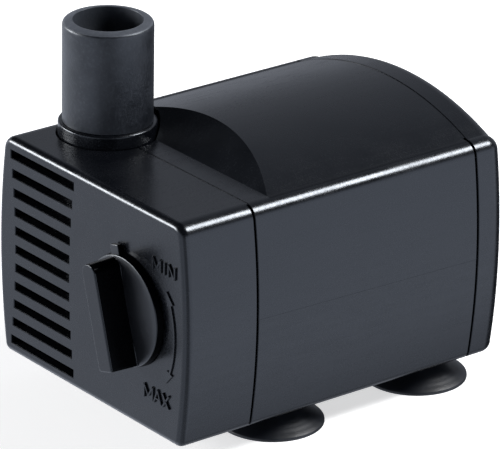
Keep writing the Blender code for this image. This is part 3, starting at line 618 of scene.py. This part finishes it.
def slot_cutter(z):
    """One intake slot with a broken edge round its mouth."""
    reach = slot_reach(z)
    loops = []
    for y, grow in ((-MM, 0.10 * MM), (0, 0.10 * MM), (0.10 * MM, 0), (WALL + MM, 0)):
        low_x = SLOT_LEFT - reach - grow
        high_x = SLOT_RIGHT + reach + grow
        low_z = z - SLOT_HEIGHT / 2 - grow
        high_z = z + SLOT_HEIGHT / 2 + grow
        loops.append([(low_x, y, low_z), (high_x, y, low_z), (high_x, y, high_z),
                      (low_x, y, high_z)])
    return loft("slot", loops)


def neck_notch():
    """The opening in the deck that the chamber's collar stands in."""
    edge = 0.12 * MM
    radius = COLLAR_RADIUS + FIT
    profile = [(0, BODY_HEIGHT + 9 * MM), (radius + edge, BODY_HEIGHT + 9 * MM),
               (radius + edge, BODY_HEIGHT), (radius, BODY_HEIGHT - edge),
               (radius, BODY_HEIGHT - 6 * MM), (0, BODY_HEIGHT - 6 * MM)]
    return lathe("notch", profile, False, 96, "Z", OUTLET)


def front_cover():
    """The cover's shell with its slots, knob hole and the notch for the collar."""
    loops = list(reversed(rounded_end(0, FRONT_RADIUS, 1, False, 9)))
    loops += [station(COVER_BACK - EDGE), station(COVER_BACK, EDGE), station(COVER_BACK, WALL),
              station(WALL, WALL)]
    shell = loft("cover_shell", loops)
    slots = [slot_cutter(SLOT_MIDDLE + (i - SLOT_COUNT // 2) * SLOT_PITCH)
             for i in range(SLOT_COUNT)]
    hole = rod("knob_hole", KNOB_SHAFT + FIT, KNOB_PLACE - Vector((0, MM, 0)), 4 * MM)
    mesh = cut(shell, gathered("slots", slots), hole, neck_notch())
    piece("cover_shell", mesh, "cover", CASING, ["front_cover"])


MARK_WIDTH = 0.30 * MM
MARK_HEIGHT = 0.27 * MM
MARK_ROOT = 0.05 * MM                 # how deep the marks are set into the face
ARROW_HEIGHT = 0.22 * MM
ARROW_CENTRE = Vector((5.4 * MM, 15.9 * MM))
ARROW_RADIUS = 14.25 * MM
ARROW_HALF_WIDTH = 0.16 * MM
ARROW_STEM = radians(20.8)
ARROW_TIP = radians(29)
ARROW_BARB = 0.66 * MM


def stroke(start, end, width, height):
    """A raised stroke on the intake face, with sloping flanks."""
    a = Vector(start)
    b = Vector(end)
    along = (b - a).normalized()
    across = Vector((-along.y, along.x))
    loops = []
    for y, half, over in ((MARK_ROOT, width / 2, 0), (-height * 0.75, width / 2, 0),
                          (-height, width / 2 - 0.06 * MM, -0.06 * MM)):
        corners = [a - along * over - across * half, b + along * over - across * half,
                   b + along * over + across * half, a - along * over + across * half]
        loops.append([(p.x, y, p.y) for p in corners])
    return loft("stroke", loops)


LETTERS = {"M": (0.95, [((0, 0), (0, 1)), ((0, 1), (0.5, 0.25)), ((0.5, 0.25), (1, 1)),
                        ((1, 1), (1, 0))]),
           "I": (0.0, [((0, 0), (0, 1))]),
           "N": (0.75, [((0, 0), (0, 1)), ((0, 1), (1, 0)), ((1, 0), (1, 1))]),
           "A": (0.80, [((0, 0), (0.5, 1)), ((0.5, 1), (1, 0)), ((0.2, 0.34), (0.8, 0.34))]),
           "X": (0.72, [((0, 0), (1, 1)), ((0, 1), (1, 0))])}


def dial_word(name, word, left, base, size, gap):
    """A dial mark in plain strokes that reads along +X; gap parts the letters."""
    made = []
    at = 0.0
    for letter in word:
        width, strokes = LETTERS[letter]
        for ends in strokes:
            spots = [(left + (at + u * width) * size, base + v * size) for u, v in ends]
            made.append(stroke(*spots, MARK_WIDTH, MARK_HEIGHT))
        at += width + gap
    piece(name, gathered(name, made), "cover", CASING, sharp=25)


def raised(outline, height):
    """A flat raised mark on the intake face with this (x, z) outline."""
    loops = [[(x, y, z) for x, z in outline] for y in (MARK_ROOT, -height)]
    return loft("raised", loops)


def turn_arrow():
    """The double-ended arrow that shows which way the knob turns, raised like the words."""
    outline = arc(ARROW_CENTRE, ARROW_RADIUS + ARROW_HALF_WIDTH, -ARROW_STEM, ARROW_STEM, 36)
    outline += arc(ARROW_CENTRE, ARROW_RADIUS - ARROW_HALF_WIDTH, ARROW_STEM, -ARROW_STEM, 36)
    made = [raised(outline, ARROW_HEIGHT)]
    for side in (1, -1):
        corners = [(ARROW_RADIUS + ARROW_BARB, ARROW_STEM), (ARROW_RADIUS, ARROW_TIP),
                   (ARROW_RADIUS - ARROW_BARB, ARROW_STEM)]
        spots = [(ARROW_CENTRE.x + r * cos(side * a), ARROW_CENTRE.y + r * sin(side * a))
                 for r, a in corners]
        made.append(raised(spots, ARROW_HEIGHT))
    piece("turn_arrow", gathered("turn_arrow", made), "cover", CASING,
          sharp=25)


# ---------------------------------------------------------------- flow knob
KNOB_EDGE = 0.17 * MM
DISC_TOP = KNOB_RIM + KNOB_DOME + 0.1 * MM
WALL_TILT = 0.3                       # a wall's normal leans less than this to the front


def on_disc(face):
    """True on the disc's domed front, which takes a paler copy of the knob plastic as painted
    light.
    """
    return face.normal.y < -0.9 and -face.center.y < DISC_TOP


def on_knob_wall(face):
    """True on the walls of the disc, the grip and the pointer, which take a near black copy of the
    knob plastic as painted shade.
    """
    return abs(face.normal.y) < WALL_TILT


def flow_knob():
    """Domed disc that stands on the intake face, its shaft, the grip and the pointer."""
    edge = KNOB_EDGE
    steps = 10
    profile = []
    for i in range(steps + 1):
        radius = (KNOB_RADIUS - edge) * i / steps
        dome = KNOB_DOME * (1 - (radius / KNOB_RADIUS) ** 2)
        profile.append((radius, KNOB_RIM + dome))
    profile += arc((KNOB_RADIUS - edge, KNOB_RIM - edge), edge, pi / 2, 0, 6)[1:]
    profile += [(KNOB_RADIUS + KNOB_DRAFT, FIT), (KNOB_SHAFT, FIT),
                (KNOB_SHAFT, -SHAFT_TAIL + edge), (KNOB_SHAFT - edge, -SHAFT_TAIL),
                (0, -SHAFT_TAIL)]
    disc = lathe("knob", profile, False, 160, "-Y")
    mesh = join(disc, grip(), pointer())
    # The disc's front takes painted light and the walls take painted shade, as copies of the knob
    # plastic.
    piece("knob_cap", mesh, "knob", KNOB, ["flow_knob"], KNOB_PLACE, 42,
          [(KNOB_DISC_PAINTED_LIGHT, on_disc), (KNOB_WALL_PAINTED_SHADE, on_knob_wall)])


def grip_loop(grow, height):
    """The grip's outline, grown outwards: a round upper end and a square lower one."""
    half_width = GRIP_HALF_WIDTH + grow
    half_length = GRIP_HALF_LENGTH + grow * 0.6
    upper = half_width - 0.12 * MM
    lower = 0.40 * MM
    spots = []
    for cx, cz, corner, start in ((1, -1, lower, -pi / 2), (1, 1, upper, 0),
                                  (-1, 1, upper, pi / 2), (-1, -1, lower, pi)):
        centre = (cx * (half_width - corner), cz * (half_length - corner))
        spots += arc(centre, corner, start, start + pi / 2, 10)
    turn = Matrix.Rotation(-KNOB_TILT, 4, "Y")
    return [turn @ Vector((x, -height, z)) for x, z in spots]


def grip():
    """The bar across the knob: drafted walls, a small fillet at its foot and at its front."""
    draft = 0.20 * MM
    fillet = 0.10 * MM
    round_over = 0.28 * MM
    foot = KNOB_RIM + 0.10 * MM
    loops = [grip_loop(draft + fillet, foot - 0.4 * MM)]
    for i in range(6):
        turn = pi / 2 * i / 5
        loops.append(grip_loop(draft + fillet * (1 - sin(turn)), foot + fillet * (1 - cos(turn))))
    for i in range(7):
        turn = pi / 2 * i / 6
        loops.append(grip_loop(-round_over * (1 - cos(turn)),
                               GRIP_FRONT - round_over * (1 - sin(turn))))
    return loft("grip", loops)


def pointer():
    """The small tab on the rim that points at the dial."""
    tab = block("tab", (-0.9 * MM, -POINTER_FRONT, KNOB_RADIUS - 0.7 * MM),
                (0.9 * MM, -FIT - 0.05 * MM, POINTER_REACH))
    tab = softened(tab, 0.14 * MM, 3)
    tab.transform(Matrix.Rotation(-POINTER_TILT, 4, "Y"))
    return tab


# ---------------------------------------------------------------- pump chamber
PLATE_FRONT = 4.4 * MM
PLATE_RADIUS = 11.5 * MM
PLATE_DEPTH = 1.1 * MM
HUB_RADIUS = 2.9 * MM
HUB_DEPTH = 3.4 * MM
EYE_RADIUS = 4.9 * MM
EYE_INNER = 2.95 * MM
EYE_SPREAD = radians(50)
SHAFT_POCKET = 2.0 * MM
CHAMBER_FRONT = 5.7 * MM
CHAMBER_DEPTH = 13.6 * MM
CHAMBER_RADIUS = 11.9 * MM
VOLUTE_RADIUS = 10.4 * MM
PASSAGE_RADIUS = 6.1 * MM
SKIRT_RADIUS = 9.6 * MM
SKIRT_BORE = 8.2 * MM
NECK_RADIUS = 5.95 * MM
NECK_BORE = 5.7 * MM
NECK_TOP = 28.6 * MM
RISE_RADIUS = 4.2 * MM


def rod(name, radius, start, length, axis="Y", steps=64, edge=0.0):
    """A round bar from start along an axis, with rounded ends where edge is given."""
    profile = [(0, length), (radius, length, edge), (radius, 0, edge), (0, 0)]
    return lathe(name, rounded_profile(profile, 3), False, steps, axis, start)


def in_casing(face):
    """True below the collar, where the chamber is inside the casing."""
    return face.center.z < 28 * MM


def pump_chamber():
    """Volute, skirt over the rotor can, elbow and the neck that takes the riser."""
    axis = Vector((0, 0, AXIS_Z))
    body = rod("chamber", CHAMBER_RADIUS, axis + Vector((0, CHAMBER_FRONT, 0)), CHAMBER_DEPTH,
               "Y", 96, 0.35 * MM)
    skirt = rod("skirt", SKIRT_RADIUS, axis + Vector((0, 18.3 * MM, 0)), 6.5 * MM, "Y", 80,
                0.2 * MM)
    elbow = block("elbow", (-19.0 * MM, OUTLET.y - 6.2 * MM, 11.0 * MM),
                  (-4.0 * MM, OUTLET.y + 6.2 * MM, 27.0 * MM))
    elbow = softened(elbow, 1.6 * MM, 5)
    neck_profile = [(0, COLLAR_TOP), (COLLAR_RADIUS, COLLAR_TOP, 0.34 * MM),
                    (COLLAR_RADIUS, NECK_TOP, 0.2 * MM), (NECK_RADIUS, NECK_TOP - MM, 0.2 * MM),
                    (NECK_RADIUS, 22.0 * MM), (0, 22.0 * MM)]
    neck = lathe("neck", rounded_profile(neck_profile, 6), False, 128, "Z", OUTLET)
    mesh = join(body, skirt, elbow, neck)
    edge = 0.25 * MM
    bore = [(0, 60 * MM), (NECK_BORE + edge, 60 * MM), (NECK_BORE + edge, COLLAR_TOP),
            (NECK_BORE, COLLAR_TOP - edge), (NECK_BORE, 25.6 * MM), (0, 25.6 * MM)]
    mesh = cut(mesh,
               rod("volute", VOLUTE_RADIUS, axis + Vector((0, CHAMBER_FRONT - MM, 0)), 13.1 * MM),
               rod("passage", PASSAGE_RADIUS, axis + Vector((0, 16.8 * MM, 0)), 3.5 * MM),
               rod("skirt_bore", SKIRT_BORE, axis + Vector((0, 19.3 * MM, 0)), 6.7 * MM),
               block("elbow_way", (-17.2 * MM, OUTLET.y - 4.2 * MM, 13.6 * MM),
                     (-7.0 * MM, OUTLET.y + 4.2 * MM, 23.0 * MM)),
               rod("rise", RISE_RADIUS, OUTLET + Vector((0, 0, 20 * MM)), 10 * MM, "Z"),
               lathe("neck_bore", bore, False, 96, "Z", OUTLET))
    piece("chamber_shell", mesh, "housing", CASING, ["pump_chamber"],
          others=[(CHAMBER, in_casing)])


def chamber_cover():
    """The plate in front of the impeller, with the intake eye and its spokes."""
    front = Vector((0, PLATE_FRONT, AXIS_Z))
    plate = rod("plate", PLATE_RADIUS, front, PLATE_DEPTH, "Y", 96, 0.25 * MM)
    hub = rod("hub", HUB_RADIUS, front, HUB_DEPTH, "Y", 48, 0.25 * MM)
    mesh = join(plate, hub)
    windows = []
    for index in range(3):
        middle = pi / 2 + index * 2 * pi / 3
        outline = arc((0, 0), EYE_RADIUS, middle - EYE_SPREAD, middle + EYE_SPREAD, 24)
        outline += arc((0, 0), EYE_INNER, middle + EYE_SPREAD, middle - EYE_SPREAD, 14)
        windows.append(loft("window", [[(x, y, z + AXIS_Z) for x, z in outline]
                                       for y in (PLATE_FRONT - MM, PLATE_FRONT + 5 * MM)]))
    pocket_front = Vector((0, PLATE_FRONT + 0.7 * MM, AXIS_Z))
    pocket = rod("pocket", SHAFT_POCKET, pocket_front, 4 * MM, "Y", 32)
    mesh = softened(cut(mesh, gathered("windows", windows), pocket), 0.10 * MM, 2, 50)
    piece("eye_plate", mesh, "housing", CHAMBER, ["chamber_cover"])


# ---------------------------------------------------------------- motor housing
SEAM_DEPTH = 0.09 * MM                # depth of the grooves on the deck and the roof
TONGUE_FIT = 0.03 * MM
TONGUE_REACH = 19.4 * MM
TONGUE_LOW = BODY_HEIGHT - LIP_INSET - 0.4 * MM


def on_slope(face):
    """True on the roof's sloping front face and on the flat strips beside the roof, which take
    painted shade.
    """
    slope = face.center.z > BODY_HEIGHT and face.normal.y < -0.5 and face.normal.z > 0.65
    strip = (face.normal.z > 0.95 and face.center.y > DECK_END + MM
             and abs(face.center.x) > 0.96 * ARCH_HALF_CHORD)
    return slope or strip


def cup_mount(x, y):
    """The boss inside the floor over a suction cup, and the socket for the cup's stud."""
    boss = rod("boss", 3.1 * MM, Vector((x, y, 0.6 * MM)), 3.6 * MM, "Z", 48)
    radius = 1.8 * MM
    edge = 0.15 * MM
    profile = [(0, 3 * MM), (radius, 3 * MM), (radius, edge), (radius + edge, 0),
               (radius + edge, -MM), (0, -MM)]
    return boss, lathe("socket", profile, False, 48, "Z", Vector((x, y, 0)))


def motor_housing():
    """Lip, deck, sloping roof front, arched roof with its parting line, and the inside."""
    lip_front = HOUSING_FRONT - 2.4 * MM
    step_back = HOUSING_FRONT + 1.2 * MM
    lip_inner = LIP_INSET + LIP_WALL
    inner_deck = DECK_END + WALL * (hypot(1, SLOPE_RUN) - SLOPE_RUN)
    back = REAR_SEAM - SEAM_GAP / 2
    crease = slope_station(0, True)
    rear = station(back - EDGE, 0, True, True)
    loops = [station(lip_front, LIP_INSET), station(HOUSING_FRONT, LIP_INSET),
             station(HOUSING_FRONT, EDGE), station(HOUSING_FRONT + EDGE, 0, False, True),
             station(DECK_END, 0, False, True)]
    loops += [[Vector(one).lerp(Vector(two), i / ROOF_ROWS) for one, two in zip(crease, rear)]
              for i in range(ROOF_ROWS + 1)]
    loops += [station(back, EDGE, True), station(back, WALL, True), slope_station(WALL),
              station(inner_deck, WALL), station(step_back, WALL),
              station(step_back, lip_inner), station(lip_front, lip_inner)]
    mounts = [cup_mount(x, y) for x, y in CUPS.values()]
    tongue = block("tongue", (-TONGUE_REACH, HOUSING_FRONT - SEAM_GAP + TONGUE_FIT, TONGUE_LOW),
                   (TONGUE_REACH, HOUSING_FRONT + 0.3 * MM, BODY_HEIGHT - SEAM_DEPTH))
    mesh = join(loft("housing_shell", loops, True),
                gathered("bosses", [boss for boss, _ in mounts]), tongue)
    mesh = cut(mesh, gathered("sockets", [socket for _, socket in mounts]), neck_notch())
    # The slope and the strips beside the roof take the darker copy of the casing plastic: painted
    # shade.
    piece("housing_shell", mesh, "housing", CASING, ["motor_housing"],
          sharp=24, others=[(SLOPE_PAINTED_SHADE, on_slope)])


# ---------------------------------------------------------------- rear cover
def roof_tongue():
    """The cover's edge under the rear seam, which leaves only a shallow groove on the roof."""
    reach = asin(0.98 * ARCH_HALF_CHORD / ROOF_ARC)
    low = ROOF_ARC - LIP_INSET - 0.4 * MM
    outline = arc((0, ROOF_CENTRE), ROOF_ARC - SEAM_DEPTH, pi / 2 - reach, pi / 2 + reach, 40)
    outline += arc((0, ROOF_CENTRE), low, pi / 2 + reach, pi / 2 - reach, 40)
    near = REAR_SEAM - SEAM_GAP / 2 + TONGUE_FIT
    return loft("roof_tongue", [[(x, y, z) for x, z in outline]
                                for y in (near, near + SEAM_GAP + 0.3 * MM)])


def rear_cover():
    """The arched end cap, its lip inside the housing and the seat of the gland."""
    lip_front = REAR_SEAM - 0.65 * MM
    front = REAR_SEAM + SEAM_GAP / 2
    inner = LIP_INSET + LIP_WALL
    inner_back = REAR_END - 1.6 * MM
    loops = [station(inner_back, inner, True), station(lip_front, inner, True),
             station(lip_front, LIP_INSET, True), station(front, LIP_INSET, True),
             station(front, EDGE, True), station(front + EDGE, 0, True)]
    loops += rounded_end(REAR_END, REAR_RADIUS, -1, True, 12)
    mesh = loft("rear_shell", loops)
    hole = rod("hole", 2.9 * MM, Vector((0, REAR_END - 4 * MM, GLAND_Z)), 6 * MM, "Y", 64)
    seat = [(0, 2 * MM), (4.9 * MM, 2 * MM), (4.9 * MM, 0), (4.6 * MM, -0.3 * MM),
            (0, -0.3 * MM)]
    counterbore = lathe("seat", seat, False, 96, "Y", Vector((0, REAR_END, GLAND_Z)))
    mesh = cut(join(mesh, roof_tongue()), hole, counterbore)
    piece("rear_shell", mesh, "housing", CASING, ["rear_cover"], sharp=30)


def cable_gland():
    """The rubber bush in the rear cover, flanged on both sides, with an open bore."""
    inside = REAR_END - 1.6 * MM
    profile = [(2.6 * MM, GLAND_END, 0.15 * MM), (3.3 * MM, GLAND_END, 0.3 * MM),
               (4.0 * MM, GLAND_END - 0.55 * MM, 0.25 * MM),
               (4.0 * MM, REAR_END + FIT, 0.12 * MM),
               (2.7 * MM, REAR_END + FIT, 0), (2.7 * MM, inside - FIT, 0),
               (3.7 * MM, inside - FIT, 0.15 * MM), (3.7 * MM, inside - 1.4 * MM, 0.2 * MM),
               (2.0 * MM, inside - 1.4 * MM, 0.1 * MM), (2.0 * MM, GLAND_END - 0.5 * MM, 0.2 * MM)]
    mesh = lathe("gland", rounded_profile(profile, 4), True, 96, "Y")
    piece("cable_grommet", mesh, "housing", BLACK_RUBBER, ["cable_gland"],
          Vector((0, 0, GLAND_Z)))


# ---------------------------------------------------------------- outlet riser
def on_riser_rim(face):
    """True on the riser's rim, which takes a paler copy of the riser plastic as painted light on
    its top.
    """
    return face.normal.z > 0.6 and face.center.z > RISER_TOP - MM


def on_riser_bore(face):
    """True on the wall of the riser's bore, which takes a paler copy of the riser plastic as
    painted light.
    """
    inwards = face.normal.xy.dot(face.center.xy.normalized()) < -0.5
    return inwards and face.center.z > COLLAR_TOP


def outlet_riser():
    """The hose tube, its rim falling off outwards, with the spigot and its seal groove."""
    shoulder = COLLAR_TOP + 0.04 * MM
    groove = 30.0 * MM
    spigot = 5.45 * MM
    crest = RISER_TOP + 0.38 * MM
    profile = [(RISER_BORE + 0.10 * MM, crest, 0.30 * MM), (5.3 * MM, crest, 0.16 * MM),
               (RISER_RADIUS, RISER_TOP + 0.10 * MM, 0.56 * MM),
               (RISER_RADIUS, shoulder, 0.05 * MM), (spigot, shoulder, 0),
               (spigot, groove + 0.75 * MM, 0.1 * MM),
               (spigot - 0.45 * MM, groove + 0.75 * MM, 0),
               (spigot - 0.45 * MM, groove - 0.75 * MM, 0),
               (spigot, groove - 0.75 * MM, 0.1 * MM), (spigot, 26.0 * MM, 0.25 * MM),
               (4.3 * MM, 26.0 * MM, 0.2 * MM), (4.3 * MM, shoulder - MM, 0.4 * MM),
               (RISER_BORE - 0.12 * MM, shoulder + MM, 0.4 * MM)]
    mesh = lathe("riser", rounded_profile(profile, 8), True, 128)
    # The rim's top and the bore's wall take paler copies of the riser plastic: painted light.
    piece("riser_tube", mesh, "riser", RISER, ["outlet_riser"], OUTLET,
          others=[(RISER_RIM_PAINTED_LIGHT, on_riser_rim), (BORE_PAINTED_LIGHT, on_riser_bore)])


# ---------------------------------------------------------------- suction cups
def suction_cup(name, x, y):
    """Barbed stud, stepped neck and a thin dished skirt."""
    profile = [(0, 2.6 * MM, 0), (1.3 * MM, 2.6 * MM, 0.2 * MM), (1.6 * MM, 2.2 * MM, 0.2 * MM),
               (1.6 * MM, -FIT, 0.05 * MM), (2.6 * MM, -FIT, 0.15 * MM),
               (2.75 * MM, -1.15 * MM, 0.3 * MM), (4.4 * MM, -1.75 * MM, 0.5 * MM),
               (6.4 * MM, -2.85 * MM, 0.6 * MM), (7.1 * MM, -3.25 * MM, 0.15 * MM),
               (CUP_RADIUS, -3.55 * MM, 0.2 * MM), (CUP_RADIUS, -CUP_DROP, 0.1 * MM),
               (CUP_RADIUS - 0.7 * MM, -CUP_DROP, 0.1 * MM), (4.8 * MM, -3.1 * MM, 0.8 * MM),
               (2.0 * MM, -2.5 * MM, 0.8 * MM), (0, -2.4 * MM, 0)]
    mesh = lathe(name, rounded_profile(profile, 6), False, 96)
    piece(name.replace("suction_cup", "cup"), mesh, "housing", CUP_RUBBER, [name],
          Vector((x, y, 0)))


front_cover()
dial_word("dial_min", "MIN", 14.67 * MM, 25.1 * MM, 1.88 * MM, 0.48)
dial_word("dial_max", "MAX", 12.97 * MM, 5.27 * MM, 2.05 * MM, 0.15)
turn_arrow()
flow_knob()
pump_chamber()
chamber_cover()
motor_housing()
rear_cover()
cable_gland()
outlet_riser()
for cup, (cup_x, cup_y) in CUPS.items():
    suction_cup(cup, cup_x, cup_y)


# ---------------------------------------------------------------- camera
AZIMUTH = radians(51.789)
ELEVATION = radians(22.911)
ROLL = radians(0.9716)
DISTANCE = 0.704
FOCAL_LENGTH = 360
SENSOR = 36
AIM = Vector((0.00619, -0.00319, 0.02696))
back = Vector((sin(AZIMUTH) * cos(ELEVATION), -cos(AZIMUTH) * cos(ELEVATION), sin(ELEVATION)))
level = Vector((cos(AZIMUTH), sin(AZIMUTH), 0))
rise = back.cross(level)
right = level * cos(ROLL) + rise * sin(ROLL)
rise = rise * cos(ROLL) - level * sin(ROLL)
lens = bpy.data.cameras.new("camera")
lens.lens = FOCAL_LENGTH
lens.sensor_width = SENSOR
lens.clip_start = 0.05
lens.clip_end = 20
camera = bpy.data.objects.new("camera", lens)
camera.matrix_world = Matrix.Translation(AIM + back * DISTANCE) @ Matrix(
    (right, rise, back)).transposed().to_4x4()
bpy.context.scene.collection.objects.link(camera)
bpy.context.scene.camera = camera


# ---------------------------------------------------------------- floor and light
FLOOR_GLOW = 0.62
DIMMEST = 0.03
ROOM_COLOUR = (0.92, 0.98, 1.12, 1)
BANK_TOP = (0.10, 0.42)               # the side banks fade out between these heights
# direction, cosine where the light starts, cosine where it is full, radiance
SIDE_BANKS = (((-0.700, -0.714, 0), 0.05, 0.58, 0.86),
              ((0.915, 0.403, 0), 0.60, 0.86, 1.36))
GLOWS = (((-0.50, 0.80, 0.33), 0.58, 0.97, 0.30),
         ((0, 0, -1), 0.50, 0.90, 0.62),
         ((0.66, -0.64, -0.39), 0.72, 0.98, 0.46))


def floor():
    """Pale ground; the pump's gloss looks past it at the studio's banks of light."""
    made, tree, shader = nodes_of("pale_floor")
    cloud = noise(tree, coordinates(tree), 30, 4.0, 0.5)
    tree.links.new(blend(tree, cloud, (0.86, 0.86, 0.86), (0.89, 0.89, 0.89)),
                   shader.inputs["Base Color"])
    shader.inputs["Roughness"].default_value = 0.9
    shader.inputs["Specular IOR Level"].default_value = 0.1
    shader.inputs["Emission Color"].default_value = (1, 1, 1, 1)
    shader.inputs["Emission Strength"].default_value = FLOOR_GLOW
    bm = bmesh.new()
    bmesh.ops.create_grid(bm, x_segments=8, y_segments=8, size=6)
    mesh = closed(bm, "floor")
    mesh.materials.append(made)
    obj = bpy.data.objects.new("floor", mesh)
    obj.visible_glossy = False
    bpy.context.scene.collection.objects.link(obj)


def softbox(name, direction, distance, width, height, radiance):
    """An area light that faces the pump, with a given brightness of its surface."""
    lamp = bpy.data.lights.new(name, "AREA")
    lamp.shape = "RECTANGLE"
    lamp.size = width
    lamp.size_y = height
    lamp.energy = radiance * pi * width * height
    obj = bpy.data.objects.new(name, lamp)
    way = Vector(direction).normalized()
    obj.location = Vector((0, 0, 0.02)) + way * distance
    obj.rotation_euler = way.to_track_quat("Z", "Y").to_euler()
    bpy.context.scene.collection.objects.link(obj)


def bank(tree, view, towards, low, high, radiance):
    """Light from one side of the room: none below low, full above high (cosines)."""
    dot = tree.nodes.new("ShaderNodeVectorMath")
    dot.operation = "DOT_PRODUCT"
    dot.inputs[1].default_value = Vector(towards).normalized()
    tree.links.new(view, dot.inputs[0])
    return remap(tree, dot.outputs["Value"], low, high, 0.0, radiance, True)


def surroundings():
    """Two pale side banks up to eye level, a dim glow high behind and a dark front."""
    world = bpy.data.worlds.new("studio")
    world.use_nodes = True
    bpy.context.scene.world = world
    tree = world.node_tree
    view = tree.nodes.new("ShaderNodeTexCoord").outputs["Generated"]
    split = tree.nodes.new("ShaderNodeSeparateXYZ")
    tree.links.new(view, split.inputs["Vector"])
    left, right = [bank(tree, view, *side) for side in SIDE_BANKS]
    low = remap(tree, split.outputs["Z"], *BANK_TOP, 1.0, 0.0, True)
    total = combine(tree, "MULTIPLY", combine(tree, "ADD", left, right), low)
    for glow in GLOWS:
        total = combine(tree, "ADD", total, bank(tree, view, *glow))
    total = combine(tree, "ADD", total, DIMMEST)
    tree.links.new(total, tree.nodes["Background"].inputs["Strength"])
    tree.nodes["Background"].inputs["Color"].default_value = ROOM_COLOUR


floor()
surroundings()
softbox("key_back_right", (0.391, 0.567, 0.725), 1.1, 0.36, 0.36, 32)
softbox("strip_front_left", (-0.725, -0.663, 0.20), 0.9, 0.55, 0.24, 22)
tones = bpy.context.scene.view_settings
tones.view_transform = "Standard"
tones.look = "None"
tones.exposure = 0
tones.gamma = 1
